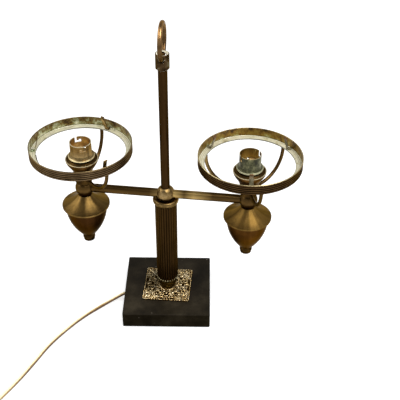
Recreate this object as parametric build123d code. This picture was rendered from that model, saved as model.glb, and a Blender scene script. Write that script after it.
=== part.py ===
from build123d import *
import os
from math import cos, hypot, pi, radians, sin, sqrt, tan

# A table lamp of turned and spun brass on a square stone slab. A reeded column carries a hub ball, a mast
# with a carrying ring, and two arms. Each arm ends in a ball with an urn below and, above, a cup, a bayonet
# lampholder and a gallery ring for a glass shade. Millimetres, +Z up. The origin is on the table under the
# column's axis, and the arms lie along X.

# Cuts run past the faces that they open by this much
overrun = 2.0

# Stone slab, turned by base_turn degrees from the arms
base_side = 104.0
slab_height = 19.4
slab_corner_radius = 1.8
slab_edge_radius = 0.7
base_turn = 6.3
pocket_diameter = 50.0
pocket_depth = 12.8

# Felt glued under the slab
felt_thickness = 1.2
felt_inset = 1.0

# Cord hole through the slab's left wall, and the bush in it
cord_hole_offset = 0.0
cord_hole_height = 6.0
bush_diameter = 7.6
bush_flange_diameter = 10.4
bush_flange_thickness = 1.2

# Cast scroll plate on the slab, its edge waved by shallow scallops
plate_side = 55.4
plate_thickness = 2.0
plate_turn = 2.6
plate_scallop_count = 7
plate_scallop_depth = 0.8

# Hollow threaded stem: the tie rod and the nipples under the lampholders
stem_diameter = 9.8
stem_bore = 6.5
stem_gap = 0.1

# Column: foot, reeded tube and capital
foot_height = 15.4
foot_bottom_diameter = 16.6
foot_rim_diameter = 26.4
foot_rim_height = 1.8
column_diameter = 25.4
column_bore = 22.4
column_length = 110.5
reed_count = 27
reed_depth = 0.7
column_spigot_length = 3.0
column_spigot_gap = 0.1
capital_height = 7.1
capital_seat_height = 3.5
capital_diameter = 29.6
capital_seat_diameter = 15.6
capital_lip_width = 2.4

# Balls with flats for the tubes that butt on them, hollow in the middle for the leads
ball_diameter = 21.0
flat_diameter = 11.2
chamber_diameter = 11.0
socket_depth = 4.4
spigot_diameter = 8.4

# Arms and mast
arm_reach = 93.5
arm_diameter = 10.0
arm_bore = 6.4
mast_diameter = 10.0
mast_length = 153.4

# Ferrule on the mast's top, with cross holes for the carrying ring
ferrule_height = 17.3
ferrule_diameter = 14.6
ferrule_bore = 12.0
ferrule_grip = 6.2
ferrule_chamfer = 1.2
ferrule_lip_chamfer = 0.4
ring_hole_drop = 4.7
ring_hole_diameter = 6.6

# Carrying ring, turned by ring_turn degrees from square to the arms
ring_diameter = 37.2
ring_wire = 4.7
ring_turn = 1.8

# Washer and nut under the slab
washer_diameter = 24.0
washer_thickness = 1.5
nut_across_flats = 17.0
nut_height = 5.0
tie_rod_tail = 0.6

# Connector block in the slab's pocket, with a round hole for each lead
block_length = 9.5
block_width = 16.0
block_height = 7.0
block_distance = 13.0
block_lift = 0.8
block_hole_depth = 4.0

# Leads from the connector block to the lampholders
lead_diameter = 3.0
lead_spacing = 3.1
lead_bottom_bend = 3.0
lead_ball_bend = 5.0
lead_height = 3.2

# Urn: conical cover, bowl, knob and the stud that holds them
cover_neck_diameter = 16.0
cover_diameter = 54.6
cover_height = 15.0
cover_lip_height = 1.8
cover_flange_width = 4.6
cover_wall = 1.0
cover_sag_share = 0.16
bowl_diameter = 49.2
bowl_height = 43.2
bowl_wall = 1.0
bowl_floor = 1.6
bowl_shares = ((0.25, 0), (0.44, 0.13), (0.645, 0.31), (0.805, 0.5), (0.91, 0.69), (0.967, 0.87), (1, 1))
stud_diameter = 6.0
stud_gap = 0.1
stud_thread_length = 5.6
knob_height = 8.6
knob_diameter = 14.4
knob_shares = ((0.62, 0.0), (0.9, 0.14), (0.9, 0.38), (0.72, 0.46), (1.0, 0.54), (1.0, 0.78), (0.84, 1.0))

# Prong hub on the head ball, and the prongs that rise to the gallery ring
prong_hub_diameter = 18.6
prong_hub_height = 7.4
prong_root_height = 4.8
prong_root_depth = 3.2
prong_diameter = 4.0
prong_count = 3
prong_bend = 33.0
prong_rise = 34.2
prong_inset = 6.4

# Gallery ring with its reeded outside and inner ledge
gallery_diameter = 114.0
gallery_height = 11.5
gallery_wall = 1.0
gallery_reed_count = 4
gallery_reed_depth = 0.5
gallery_band_margin = 1.6
ledge_width = 6.6
ledge_thickness = 1.4

# Spring clips riveted on the ledge
clip_width = 4.4
clip_thickness = 0.9
clip_foot_length = 5.2
clip_height = 19.6
rivet_offset = 0.8
rivet_diameter = 2.0
rivet_head_diameter = 3.2
rivet_head_height = 1.2

# Degrees: each head's first prong and first bayonet slot, and each clip's azimuth, inward lean and side lean
left_prong_azimuth = 76.0
right_prong_azimuth = 47.5
left_slot_azimuth = -50.0
right_slot_azimuth = 37.0
left_clip_angles = ((68.0, 10, 12), (188.0, 17, 0), (313.0, -14, 0))
right_clip_angles = ((39.0, 17, 0), (152.0, 17, 0), (275.0, 17, 0))

# Socket cup round the lampholder, held by a ring nut
cup_diameter = 36.8
cup_height = 23.4
cup_wall = 1.0
cup_floor = 1.5
cup_shares = ((0.48, 0), (0.545, 0.17), (0.608, 0.34), (0.705, 0.51), (0.841, 0.68), (0.96, 0.85), (1, 1))
cup_nut_diameter = 13.4
cup_nut_height = 3.6

# Bayonet lampholder: base, insulator and barrel
holder_lift = 9.8
holder_neck_diameter = 13.6
holder_neck_height = 4.0
holder_base_diameter = 24.4
holder_base_height = 17.0
holder_floor = 9.8
holder_wall = 0.8
barrel_bore = 22.4
barrel_height = 18.0
barrel_flange_diameter = 29.6
barrel_flange_thickness = 1.2
barrel_flare_height = 2.8
slot_width = 2.4
slot_depth = 7.0
slot_sweep = 24.0
slot_notch = 1.2
insulator_height = 13.0
insulator_gap = 0.2
holder_stem_depth = 8.0

# Sprung contact plungers in the insulator
plunger_spacing = 10.6
plunger_diameter = 4.2
plunger_stand = 4.4
plunger_collar_diameter = 5.6
plunger_collar_height = 2.0
plunger_gap = 0.2
plunger_stop_gap = 0.3
plunger_roof = 2.5
plunger_chamber_depth = 8.4
spring_wire = 0.5
spring_diameter = 4.6
spring_turns = 4
spring_end_gap = 0.1

# Flex, wound into a tied coil past its free stretch, and its plug
cord_diameter = 4.8
cord_bore_gap = 0.1
cord_self_gap = 0.45
floor_gap = 0.05
coil_radius = 38.5
coil_half_turns = 8
tie_thickness = 0.6
tie_width = 5.0
tie_gap = 0.1
plug_length = 36.0
plug_width = 34.0
plug_thickness = 13.6
plug_nose_width = 31.0
plug_tail_width = 11.0
plug_corner_radius = 3.0
plug_edge_radius = 2.0
plug_tail_share = 0.2
plug_shoulder_share = 0.55
pin_spacing = 18.6
pin_length = 19.0
pin_diameter = 4.0
pin_tip_radius = 1.2
pin_root_depth = 6.0

# Worked out from the sizes above
UP = (Align.CENTER, Align.CENTER, Align.MIN)
DOWN = (Align.CENTER, Align.CENTER, Align.MAX)
slab_top = felt_thickness + slab_height
plate_top = slab_top + plate_thickness
column_bottom = plate_top + foot_height
column_top = column_bottom + column_length
capital_top = column_top + capital_height
ball_radius = ball_diameter / 2
flat_reach = sqrt(ball_radius**2 - (flat_diameter / 2) ** 2)
capital_seat = column_top + capital_seat_height
arm_height = capital_seat + flat_reach
pocket_ceiling = felt_thickness + pocket_depth
washer_bottom = pocket_ceiling - washer_thickness
nut_bottom = washer_bottom - nut_height
hub_top = arm_height + flat_reach
mast_top = hub_top + mast_length
ferrule_bottom = mast_top - ferrule_grip
ferrule_top = ferrule_bottom + ferrule_height
ring_axis = ferrule_top - ring_hole_drop
ferrule_wall_radius = (ferrule_diameter + ferrule_bore) / 4
ring_centre = ring_axis + sqrt((ring_diameter / 2) ** 2 - ferrule_wall_radius**2)
cover_top = arm_height - flat_reach
cover_bottom = cover_top - cover_height
bowl_bottom = cover_bottom - bowl_height
prong_hub_bottom = arm_height + flat_reach
cup_bottom = prong_hub_bottom + prong_hub_height
cup_floor_top = cup_bottom + cup_floor
prong_root = prong_hub_bottom + prong_root_height
gallery_bottom = prong_root + prong_rise
prong_reach = gallery_diameter / 2 - prong_inset
gallery_top = gallery_bottom + gallery_height
ledge_top = gallery_bottom + ledge_thickness
ledge_radius = gallery_diameter / 2 - gallery_wall - ledge_width / 2
holder_bottom = cup_bottom + holder_lift
barrel_bottom = holder_bottom + holder_base_height
barrel_diameter = barrel_bore + 2 * holder_wall
barrel_top = barrel_bottom + barrel_height
insulator_bottom = holder_bottom + holder_floor
insulator_top = insulator_bottom + insulator_height
plunger_shoulder = insulator_top - plunger_roof
plunger_chamber_bottom = plunger_shoulder - plunger_chamber_depth
plunger_bottom = plunger_shoulder - plunger_stop_gap - plunger_collar_height
cord_radius = cord_diameter / 2
cord_floor = cord_radius + floor_gap
coil_floor = floor_gap + tie_thickness + tie_gap + cord_radius
coil_pitch = cord_diameter + cord_self_gap
plug_axis = floor_gap + plug_thickness / 2


def polar(radius, azimuth, height=0):
    """The point at a radius, an azimuth in degrees and a height."""
    return Vector(radius * cos(radians(azimuth)), radius * sin(radians(azimuth)), height)


def turned(*edges):
    """The solid that a closed outline of radius and height makes round the Z axis."""
    return revolve(Plane.XZ * make_face(edges), Axis.Z)


def turned_straight(*points):
    """A turned solid whose outline is straight from point to point."""
    return turned(*Polyline(*points, close=True).edges())


def rod(diameter, bottom, top):
    """An upright round bar on the Z axis."""
    return Pos(0, 0, bottom) * Cylinder(diameter / 2, top - bottom, align=UP)


def tube(diameter, bore, bottom, top):
    """An upright tube on the Z axis."""
    return rod(diameter, bottom, top) - rod(bore, bottom - overrun, top + overrun)


def swept(path, diameter):
    """A round bar along a path."""
    return sweep(Plane(path @ 0, z_dir=path % 0) * Circle(diameter / 2), path)


def spun_shell(shares, diameter, height, wall, floor, hole):
    """A spun cup that follows the shares of its rim's radius and of its height, with a hole in its floor."""
    radius = diameter / 2
    outside = [(r * radius, z * height) for r, z in shares]
    inside = [(r * radius - wall, floor + z * (height - floor)) for r, z in shares]
    first = (hole / 2, 0)
    last = (hole / 2, floor)
    return turned(
        Line(first, outside[0]),
        Spline(*outside),
        Line(outside[-1], inside[-1]),
        Spline(*reversed(inside)),
        Line(inside[0], last),
        Line(last, first),
    )


def make_slab():
    """Stone slab with a pocket for the nut, a hole for the tie rod and one for the cord bush."""
    slab = Pos(0, 0, felt_thickness) * Box(base_side, base_side, slab_height, align=UP)
    slab = fillet(slab.edges().filter_by(Axis.Z), slab_corner_radius)
    slab = fillet(slab.faces().sort_by(Axis.Z)[-1].edges(), slab_edge_radius)
    slab -= rod(pocket_diameter, felt_thickness - overrun, pocket_ceiling)
    slab -= rod(stem_diameter + 2 * stem_gap, 0, slab_top + overrun)
    hole = Rot(0, -90, 0) * Cylinder(bush_diameter / 2, base_side / 2 + overrun, align=UP)
    slab -= Pos(0, cord_hole_offset, cord_hole_height) * hole
    return Rot(0, 0, base_turn) * slab


def make_felt():
    """Felt sheet under the slab."""
    side = base_side - 2 * felt_inset
    return Rot(0, 0, base_turn) * Box(side, side, felt_thickness, align=UP)


def make_bush():
    """Flanged bush that lines the cord hole."""
    inner_end = sqrt((pocket_diameter / 2) ** 2 - cord_hole_offset**2)
    sleeve = Cylinder(bush_diameter / 2, base_side / 2 - inner_end, align=DOWN)
    flange = Cylinder(bush_flange_diameter / 2, bush_flange_thickness, align=UP)
    bore = Cylinder(cord_radius + cord_bore_gap, base_side)
    bush = Rot(0, -90, 0) * (sleeve + flange - bore)
    return Rot(0, 0, base_turn) * Pos(-base_side / 2, cord_hole_offset, cord_hole_height) * bush


def make_inner_flex():
    """Flex from the bush's outer face to the connector block."""
    length = base_side / 2 + bush_flange_thickness - block_distance - block_length
    flex = Rot(0, 90, 0) * Cylinder(cord_radius, length, align=UP)
    start = -base_side / 2 - bush_flange_thickness
    return Rot(0, 0, base_turn) * Pos(start, cord_hole_offset, cord_hole_height) * flex


def make_block():
    """Connector block in the pocket, with a hole for each lead."""
    place = Pos(-block_distance - block_length / 2, 0, felt_thickness + block_lift)
    block = place * Box(block_length, block_width, block_height, align=UP)
    for side in (1, -1):
        hole = Rot(0, -90, 0) * Cylinder(lead_diameter / 2, block_hole_depth, align=UP)
        block -= Pos(-block_distance, side * lead_spacing / 2, lead_height) * hole
    return Rot(0, 0, base_turn) * block


def make_plate():
    """Cast plate with a scalloped edge, lying under the column."""
    half = plate_side / 2
    step = plate_side / plate_scallop_count
    edges = []
    for side in range(4):
        for i in range(plate_scallop_count):
            a, b = -half + i * step, -half + (i + 1) * step
            arc = ThreePointArc((a, -half), ((a + b) / 2, -half - plate_scallop_depth), (b, -half))
            edges.append(Rot(0, 0, 90 * side) * arc)
    plate = extrude(make_face(edges), plate_thickness)
    plate -= rod(stem_diameter + 2 * stem_gap, -overrun, plate_thickness + overrun)
    return Rot(0, 0, plate_turn) * Pos(0, 0, slab_top) * plate


def make_foot():
    """Turned foot: a bowl that opens to a thin rim, with a spigot for the column tube."""
    hole = stem_diameter / 2 + stem_gap
    bottom, rim = foot_bottom_diameter / 2, foot_rim_diameter / 2
    bowl_top = column_bottom - foot_rim_height
    neck = rim - foot_rim_height / 2
    spigot = column_bore / 2 - column_spigot_gap
    top = column_bottom + column_spigot_length
    middle = (neck + (bottom - neck) / 4, (plate_top * 2 + bowl_top * 3) / 5)
    return turned(
        Line((hole, plate_top), (bottom, plate_top)),
        ThreePointArc((bottom, plate_top), middle, (neck, bowl_top)),
        *Polyline(
            (neck, bowl_top),
            (rim, bowl_top + foot_rim_height / 3),
            (rim, column_bottom),
            (spigot, column_bottom),
            (spigot, top),
            (hole, top),
            (hole, plate_top),
        ).edges(),
    )


def make_column():
    """Brass tube reeded all round."""
    pitch = 360 / reed_count
    crest = column_diameter / 2
    valley = crest - reed_depth
    reed = ThreePointArc(polar(valley, 0), polar(crest, pitch / 2), polar(valley, pitch))
    edges = [Rot(0, 0, i * pitch) * reed for i in range(reed_count)]
    tube_bar = Pos(0, 0, column_bottom) * extrude(make_face(edges), column_length)
    return tube_bar - rod(column_bore, column_bottom - overrun, column_top + overrun)


def make_capital():
    """Cupped capital: a rounded lip round a dished seat for the hub ball, with a spigot in the column."""
    hole = stem_diameter / 2 + stem_gap
    spigot = column_bore / 2 - column_spigot_gap
    foot = column_top - column_spigot_length
    shoulder, lip = column_diameter / 2, capital_diameter / 2
    inner = lip - capital_lip_width
    swell = column_top + capital_height * 2 / 3
    seat = capital_seat_diameter / 2
    flank = ((shoulder + lip * 2) / 3, column_top + (swell - column_top) / 3)
    crown = (lip - capital_lip_width / 3, capital_top - (capital_top - swell) / 4)
    return turned(
        Line((hole, foot), (spigot, foot)),
        Line((spigot, foot), (spigot, column_top)),
        Line((spigot, column_top), (shoulder, column_top)),
        ThreePointArc((shoulder, column_top), flank, (lip, swell)),
        ThreePointArc((lip, swell), crown, (inner, capital_top)),
        Line((inner, capital_top), (seat, capital_seat)),
        Line((seat, capital_seat), (hole, capital_seat)),
        Line((hole, capital_seat), (hole, foot)),
    )


def socket(diameter):
    """A blind socket that opens through the top flat of a ball at the origin."""
    return rod(diameter + 2 * stem_gap, flat_reach - socket_depth, flat_reach + overrun)


def make_hub_ball():
    """Ball with four flats: the capital below, the mast above and an arm on each side."""
    ball = Sphere(ball_radius) & Box(2 * flat_reach, ball_diameter, 2 * flat_reach)
    ball -= Sphere(chamber_diameter / 2)
    ball -= socket(spigot_diameter)
    ball -= Rot(180, 0, 0) * socket(stem_diameter)
    for side in (90, -90):
        ball -= Rot(0, side, 0) * socket(spigot_diameter)
    return Pos(0, 0, arm_height) * ball


def make_head_ball():
    """Ball at an arm's end, with flats for the arm on +X, the urn below and the prong hub above."""
    ball = Sphere(ball_radius)
    ball &= Pos(flat_reach - ball_radius, 0, 0) * Box(2 * ball_radius, ball_diameter, 2 * flat_reach)
    ball -= Sphere(chamber_diameter / 2)
    ball -= socket(stem_diameter)
    ball -= Rot(180, 0, 0) * socket(stud_diameter)
    ball -= Rot(0, 90, 0) * socket(spigot_diameter)
    return Pos(0, 0, arm_height) * ball


def make_arm(side):
    """Straight tube between the hub ball and a head ball, with a spigot in each."""
    arm = tube(arm_diameter, arm_bore, flat_reach, arm_reach - flat_reach)
    arm += tube(spigot_diameter, arm_bore, flat_reach - socket_depth, arm_reach - flat_reach + socket_depth)
    return Pos(0, 0, arm_height) * Rot(0, 90 * side, 0) * arm


def make_mast():
    """Tube that stands on the hub ball, with a spigot in it."""
    mast = tube(mast_diameter, arm_bore, hub_top, mast_top)
    return mast + tube(spigot_diameter, arm_bore, hub_top - socket_depth, hub_top + overrun)


def make_ferrule():
    """Open ferrule on the mast's top, with cross holes for the carrying ring."""
    grip, outside, bore = mast_diameter / 2, ferrule_diameter / 2, ferrule_bore / 2
    ferrule = turned_straight(
        (grip, ferrule_bottom),
        (outside - ferrule_chamfer, ferrule_bottom),
        (outside, ferrule_bottom + ferrule_chamfer),
        (outside, ferrule_top - ferrule_lip_chamfer),
        (outside - ferrule_lip_chamfer, ferrule_top),
        (bore, ferrule_top),
        (bore, mast_top),
        (grip, mast_top),
    )
    hole = Rot(90, 0, 0) * Cylinder(ring_hole_diameter / 2, ferrule_diameter + overrun)
    return ferrule - Pos(0, 0, ring_axis) * Rot(0, 0, ring_turn) * hole


def make_carry_ring():
    """Round wire ring that hangs in the ferrule's cross holes and stands up across the arms."""
    ring = Rot(0, 90, 0) * Torus(ring_diameter / 2, ring_wire / 2)
    return Pos(0, 0, ring_centre) * Rot(0, 0, ring_turn) * ring


def make_washer():
    """Washer between the nut and the slab."""
    return tube(washer_diameter, stem_diameter + 2 * stem_gap, washer_bottom, pocket_ceiling)


def make_nut():
    """Hexagon nut on the tie rod's lower end."""
    outline = RegularPolygon(nut_across_flats / 2, 6, major_radius=False)
    nut = Pos(0, 0, nut_bottom) * extrude(outline, nut_height)
    return nut - rod(stem_diameter, nut_bottom - overrun, washer_bottom + overrun)


def make_tie_rod():
    """Hollow threaded rod that clamps the slab, the plate and the column to the hub ball."""
    return tube(stem_diameter, stem_bore, nut_bottom - tie_rod_tail, arm_height - flat_reach + socket_depth)


def make_lead(side):
    """Lead from the connector block up the tie rod, along an arm and up to its lampholder."""
    turned_block = Rot(0, 0, base_turn)
    offset = side * lead_spacing / 2
    start = turned_block * Pos(-block_distance - block_hole_depth, offset, lead_height)
    foot = (turned_block * Pos(0, offset, lead_height)).position
    path = FilletPolyline(
        start.position,
        foot,
        Vector(foot.X, foot.Y, arm_height),
        Vector(-side * arm_reach, foot.Y, arm_height),
        Vector(-side * arm_reach, foot.Y, insulator_bottom),
        radius=[lead_bottom_bend, lead_ball_bend, lead_ball_bend],
    )
    return swept(path, lead_diameter)


def make_cover():
    """Spun conical cover of the urn, slightly hollow in outline, with a turned-in flange under its lip."""
    hole = stud_diameter / 2 + stud_gap
    neck, rim = cover_neck_diameter / 2, cover_diameter / 2
    shoulder = cover_bottom + cover_lip_height
    sag = cover_sag_share * (cover_top - shoulder)
    middle = ((neck + rim) / 2, (cover_top + shoulder) / 2 - sag)
    flange = rim - cover_flange_width
    under = cover_bottom + cover_wall
    inner_top = cover_top - cover_wall
    inner_middle = (middle[0] - cover_wall, middle[1] - cover_wall)
    return turned(
        Line((hole, cover_top), (neck, cover_top)),
        ThreePointArc((neck, cover_top), middle, (rim, shoulder)),
        Line((rim, shoulder), (rim, cover_bottom)),
        Line((rim, cover_bottom), (flange, cover_bottom)),
        Line((flange, cover_bottom), (flange, under)),
        ThreePointArc((flange, under), inner_middle, (neck - cover_wall, inner_top)),
        Line((neck - cover_wall, inner_top), (hole, inner_top)),
        Line((hole, inner_top), (hole, cover_top)),
    )


def make_bowl():
    """Spun bowl of the urn, under the cover's flange."""
    hole = stud_diameter + 2 * stud_gap
    shell = spun_shell(bowl_shares, bowl_diameter, bowl_height, bowl_wall, bowl_floor, hole)
    return Pos(0, 0, bowl_bottom) * shell


def make_knob():
    """Turned knob with two beads, screwed on the stud's lower end."""
    hole, radius = stud_diameter / 2, knob_diameter / 2
    bottom = bowl_bottom - knob_height
    beads = [(r * radius, bottom + z * knob_height) for r, z in knob_shares]
    blind = bowl_bottom - stud_thread_length
    return turned_straight((0, bottom), *beads, (hole, bowl_bottom), (hole, blind), (0, blind))


def make_stud():
    """Threaded stud from the head ball down to the knob."""
    return rod(stud_diameter, bowl_bottom - stud_thread_length, arm_height - flat_reach + socket_depth)


def make_prong_hub():
    """Ring on the head ball with three sockets for the prongs."""
    hub = tube(prong_hub_diameter, stem_diameter + 2 * stem_gap, prong_hub_bottom, cup_bottom)
    start = prong_hub_diameter / 2 - prong_root_depth
    hole = Rot(0, 90, 0) * Cylinder(prong_diameter / 2, prong_root_depth + overrun, align=UP)
    for i in range(prong_count):
        hub -= Rot(0, 0, i * 360 / prong_count) * Pos(start, 0, prong_root) * hole
    return hub


def make_prongs():
    """Three rods that leave the hub level and bend up to the gallery ring's ledge."""
    start = prong_hub_diameter / 2 - prong_root_depth
    path = FilletPolyline(
        (start, 0, prong_root),
        (prong_reach, 0, prong_root),
        (prong_reach, 0, gallery_bottom),
        radius=prong_bend,
    )
    prong = swept(path, prong_diameter)
    return Compound([Rot(0, 0, i * 360 / prong_count) * prong for i in range(prong_count)])


def make_gallery():
    """Upright ring with reeds round its outside and a ledge round its inside."""
    outside = gallery_diameter / 2
    inside = outside - gallery_wall
    band_bottom, band_top = gallery_bottom + gallery_band_margin, gallery_top - gallery_band_margin
    step = (band_top - band_bottom) / gallery_reed_count
    reeds = []
    for i in range(gallery_reed_count):
        reeds.append((outside - gallery_reed_depth, band_bottom + i * step))
        reeds.append((outside, band_bottom + (i + 0.5) * step))
    return turned_straight(
        (inside - ledge_width, gallery_bottom),
        (outside, gallery_bottom),
        (outside, band_bottom - gallery_reed_depth),
        *reeds,
        (outside - gallery_reed_depth, band_top),
        (outside, band_top + gallery_reed_depth),
        (outside, gallery_top),
        (inside, gallery_top),
        (inside, ledge_top),
        (inside - ledge_width, ledge_top),
    )


def make_rivet():
    """Round-headed rivet that holds a clip's foot on the ledge."""
    head = Sphere(rivet_head_diameter / 2)
    head &= Box(rivet_head_diameter, rivet_head_diameter, rivet_head_height, align=UP)
    rivet = Pos(0, 0, clip_thickness) * head + Cylinder(rivet_diameter / 2, clip_thickness, align=UP)
    return Pos(ledge_radius + rivet_offset, 0, ledge_top) * rivet


def make_clip(lean, side_lean):
    """Strip clip: a foot on the ledge and a finger that leans inwards, or outwards, and to one side."""
    foot_end = ledge_radius - clip_foot_length / 2
    foot = Pos(ledge_radius, 0, ledge_top) * Box(clip_foot_length, clip_width, clip_thickness, align=UP)
    foot -= Pos(ledge_radius + rivet_offset, 0, ledge_top) * Cylinder(rivet_diameter / 2, overrun, align=UP)
    finger = Box(clip_thickness, clip_width, clip_height, align=(Align.MAX, Align.CENTER, Align.MIN))
    over = Pos(0, 0, ledge_top) * Box(gallery_diameter, gallery_diameter, clip_height * 2, align=UP)
    return foot + (Pos(foot_end + clip_thickness, 0, ledge_top) * Rot(-side_lean, -lean, 0) * finger & over)


def make_clips(angles):
    """Three clips round the ledge, with their rivets."""
    pieces = []
    for azimuth, lean, side_lean in angles:
        pieces.append(Rot(0, 0, azimuth) * make_clip(lean, side_lean))
        pieces.append(Rot(0, 0, azimuth) * make_rivet())
    return Compound(pieces)


def make_cup():
    """Spun cup that hides the lampholder's base."""
    hole = stem_diameter + 2 * stem_gap
    return Pos(0, 0, cup_bottom) * spun_shell(cup_shares, cup_diameter, cup_height, cup_wall, cup_floor, hole)


def make_cup_nut():
    """Ring nut that clamps the cup on the prong hub."""
    return tube(cup_nut_diameter, stem_diameter, cup_floor_top, cup_floor_top + cup_nut_height)


def make_nipple():
    """Hollow threaded nipple from the head ball up into the lampholder's base."""
    return tube(stem_diameter, stem_bore, prong_hub_bottom - socket_depth, holder_bottom + holder_stem_depth)


def make_holder_base():
    """Lampholder base: a neck threaded on the nipple, flaring to a cup for the insulator."""
    thread, neck, outside = stem_diameter / 2, holder_neck_diameter / 2, holder_base_diameter / 2
    inside = outside - holder_wall
    neck_top = holder_bottom + holder_neck_height
    return turned_straight(
        (thread, holder_bottom),
        (neck, holder_bottom),
        (neck, neck_top),
        (outside, insulator_bottom),
        (outside, barrel_bottom),
        (inside, barrel_bottom),
        (inside, insulator_bottom),
        (thread, insulator_bottom),
    )


def make_barrel(slot_azimuth):
    """Bayonet barrel: a thin tube with a flared flange and two J slots open at its rim."""
    inside, outside = barrel_bore / 2, barrel_diameter / 2
    flange = barrel_flange_diameter / 2
    flange_top = barrel_bottom + barrel_flange_thickness
    flare_top = flange_top + barrel_flare_height
    barrel = turned_straight(
        (inside, barrel_bottom),
        (flange, barrel_bottom),
        (flange, flange_top),
        (outside + holder_wall, flange_top + holder_wall),
        (outside, flare_top),
        (outside, barrel_top),
        (inside, barrel_top),
    )
    depth = inside + outside
    outwards = (Align.MIN, Align.CENTER, Align.MIN)
    slot_bottom = Pos(0, 0, barrel_top - slot_depth)
    entry = slot_bottom * Box(depth, slot_width, slot_depth + overrun, align=outwards)
    corner = Plane.XZ * Pos(0, barrel_top - slot_depth) * Rectangle(depth, slot_width, align=Align.MIN)
    foot = Rot(0, 0, -slot_sweep) * revolve(corner, Axis.Z, slot_sweep)
    notch = slot_bottom * Box(depth, slot_width, slot_width + slot_notch, align=outwards)
    slot = entry + foot + Rot(0, 0, -slot_sweep) * notch
    for turn in (0, 180):
        barrel -= Rot(0, 0, slot_azimuth + turn) * slot
    return barrel


def plunger_places(slot_azimuth):
    """The two plungers' places, on the line square to the bayonet slots."""
    return [Pos(*polar(plunger_spacing / 2, slot_azimuth + turn)) for turn in (90, 270)]


def make_insulator(slot_azimuth):
    """Porcelain block with a stepped chamber for each plunger."""
    insulator = rod(barrel_bore - 2 * insulator_gap, insulator_bottom, insulator_top)
    hole = rod(plunger_diameter + 2 * plunger_gap, plunger_shoulder, insulator_top + overrun)
    chamber = rod(plunger_collar_diameter + 2 * plunger_gap, plunger_chamber_bottom, plunger_shoulder)
    for place in plunger_places(slot_azimuth):
        insulator -= place * (hole + chamber)
    return insulator


def make_plunger():
    """Contact pin with a domed tip and a collar that stops it under the insulator's roof."""
    radius = plunger_diameter / 2
    top = insulator_top + plunger_stand
    pin = rod(plunger_diameter, plunger_bottom, top - radius) + Pos(0, 0, top - radius) * Sphere(radius)
    return pin + rod(plunger_collar_diameter, plunger_bottom, plunger_bottom + plunger_collar_height)


def half_turn(start, azimuth, radius, rise=0):
    """Half a turn to the left from a point on a circle, climbing by rise, level at both ends."""
    centre = start - polar(radius, azimuth)
    up = Vector(0, 0, rise)
    middle = centre + up / 2 + polar(hypot(radius, rise / 2), azimuth + 90)
    return ThreePointArc(start, middle, centre - polar(radius, azimuth) + up)


def make_spring():
    """Open coil spring under a plunger, of half turns that each climb half the pitch."""
    bottom = plunger_chamber_bottom + spring_end_gap + spring_wire / 2
    top = plunger_bottom - spring_end_gap - spring_wire / 2
    radius = (spring_diameter - spring_wire) / 2
    rise = (top - bottom) / (2 * spring_turns)
    turns = [half_turn(Vector(radius, 0, bottom), 0, radius, rise)]
    for i in range(1, 2 * spring_turns):
        turns.append(half_turn(turns[-1] @ 1, 180 * i, radius, rise))
    path = Wire(turns)
    return sweep(Plane(path @ 0, z_dir=path % 0) * Rectangle(spring_wire, spring_wire), path)


# The flex on the table, past its first straight run out of the bush: it drops to the table, runs off to the
# front left and enters the coil along its last run.
cord_first_run = 7.8
cord_route = [
    (-68.2, -11.3, 5.3),
    (-77.5, -24.9, 3.5),
    (-96.8, -48.5, cord_floor),
    (-112.9, -74.0, cord_floor),
    (-126.0, -99.5, cord_floor),
    (-134.4, -126.0, cord_floor),
    (-143.5, -151.1, cord_floor),
    (-157.5, -182.0, cord_floor),
    (-170.4, -208.5, coil_floor),
    (-175.2, -227.9, coil_floor),
]

# The tail from the coil to the plug, as run, turn in degrees from the run before, and the height at its end
tail_runs = [
    (12.0, 0, coil_floor + coil_pitch),
    (20.0, 4, 4.6),
    (18.0, 12, cord_floor),
    (18.0, 12, 4.0),
    (16.0, 6, plug_axis),
    (12.0, 0, plug_axis),
]


def tube_path(points):
    """Straight runs joined by arcs as large as 0.45 of the shorter run allows, and the arcs' radii."""
    runs = [b - a for a, b in zip(points, points[1:])]
    run_share = 0.45
    radii = []
    for a, b in zip(runs, runs[1:]):
        turn = radians(a.get_angle(b))
        radii.append(run_share * min(a.length, b.length) / tan(turn / 2))
    return FilletPolyline(*points, radius=radii), radii


def cord_points():
    """The free stretch's points, from the bush's outer face to the coil."""
    face = -base_side / 2 - bush_flange_thickness
    reaches = (face, face - cord_first_run)
    exits = [Rot(0, 0, base_turn) * Pos(x, cord_hole_offset, cord_hole_height) for x in reaches]
    return [place.position for place in exits] + [Vector(*point) for point in cord_route]


def coil_arcs():
    """The coil's path: straight in, spiral in, climb a layer on the innermost half turn, spiral out again."""
    last, entry = cord_points()[-2:]
    heading = (entry - last).normalized()
    azimuth = -heading.get_angle(Vector(1, 0, 0)) - 90
    path = [Line(entry, entry + heading * cord_diameter)]
    radius = coil_radius
    for i in range(2 * coil_half_turns):
        rise = coil_pitch if i == coil_half_turns else 0
        path.append(half_turn(path[-1] @ 1, azimuth + 180 * i, radius, rise))
        radius += coil_pitch / 2 * (-1 if i < coil_half_turns else 1)
    centre = path[-1] @ 1 - polar(radius, azimuth)
    quarter = [centre + polar(radius, azimuth + turn) for turn in (0, 45, 90)]
    path.append(ThreePointArc(*quarter))
    path.append(Line(path[-1] @ 1, path[-1] @ 1 + polar(cord_diameter, azimuth + 180)))
    return path, centre, azimuth


def tail_points(start, azimuth):
    """The tail's points from the coil to the plug, and the plug's heading."""
    points = [start]
    heading = azimuth + 180
    for run, turn, height in tail_runs:
        heading += turn
        step = polar(run, heading)
        points.append(Vector(points[-1].X + step.X, points[-1].Y + step.Y, height))
    return points, heading


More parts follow.
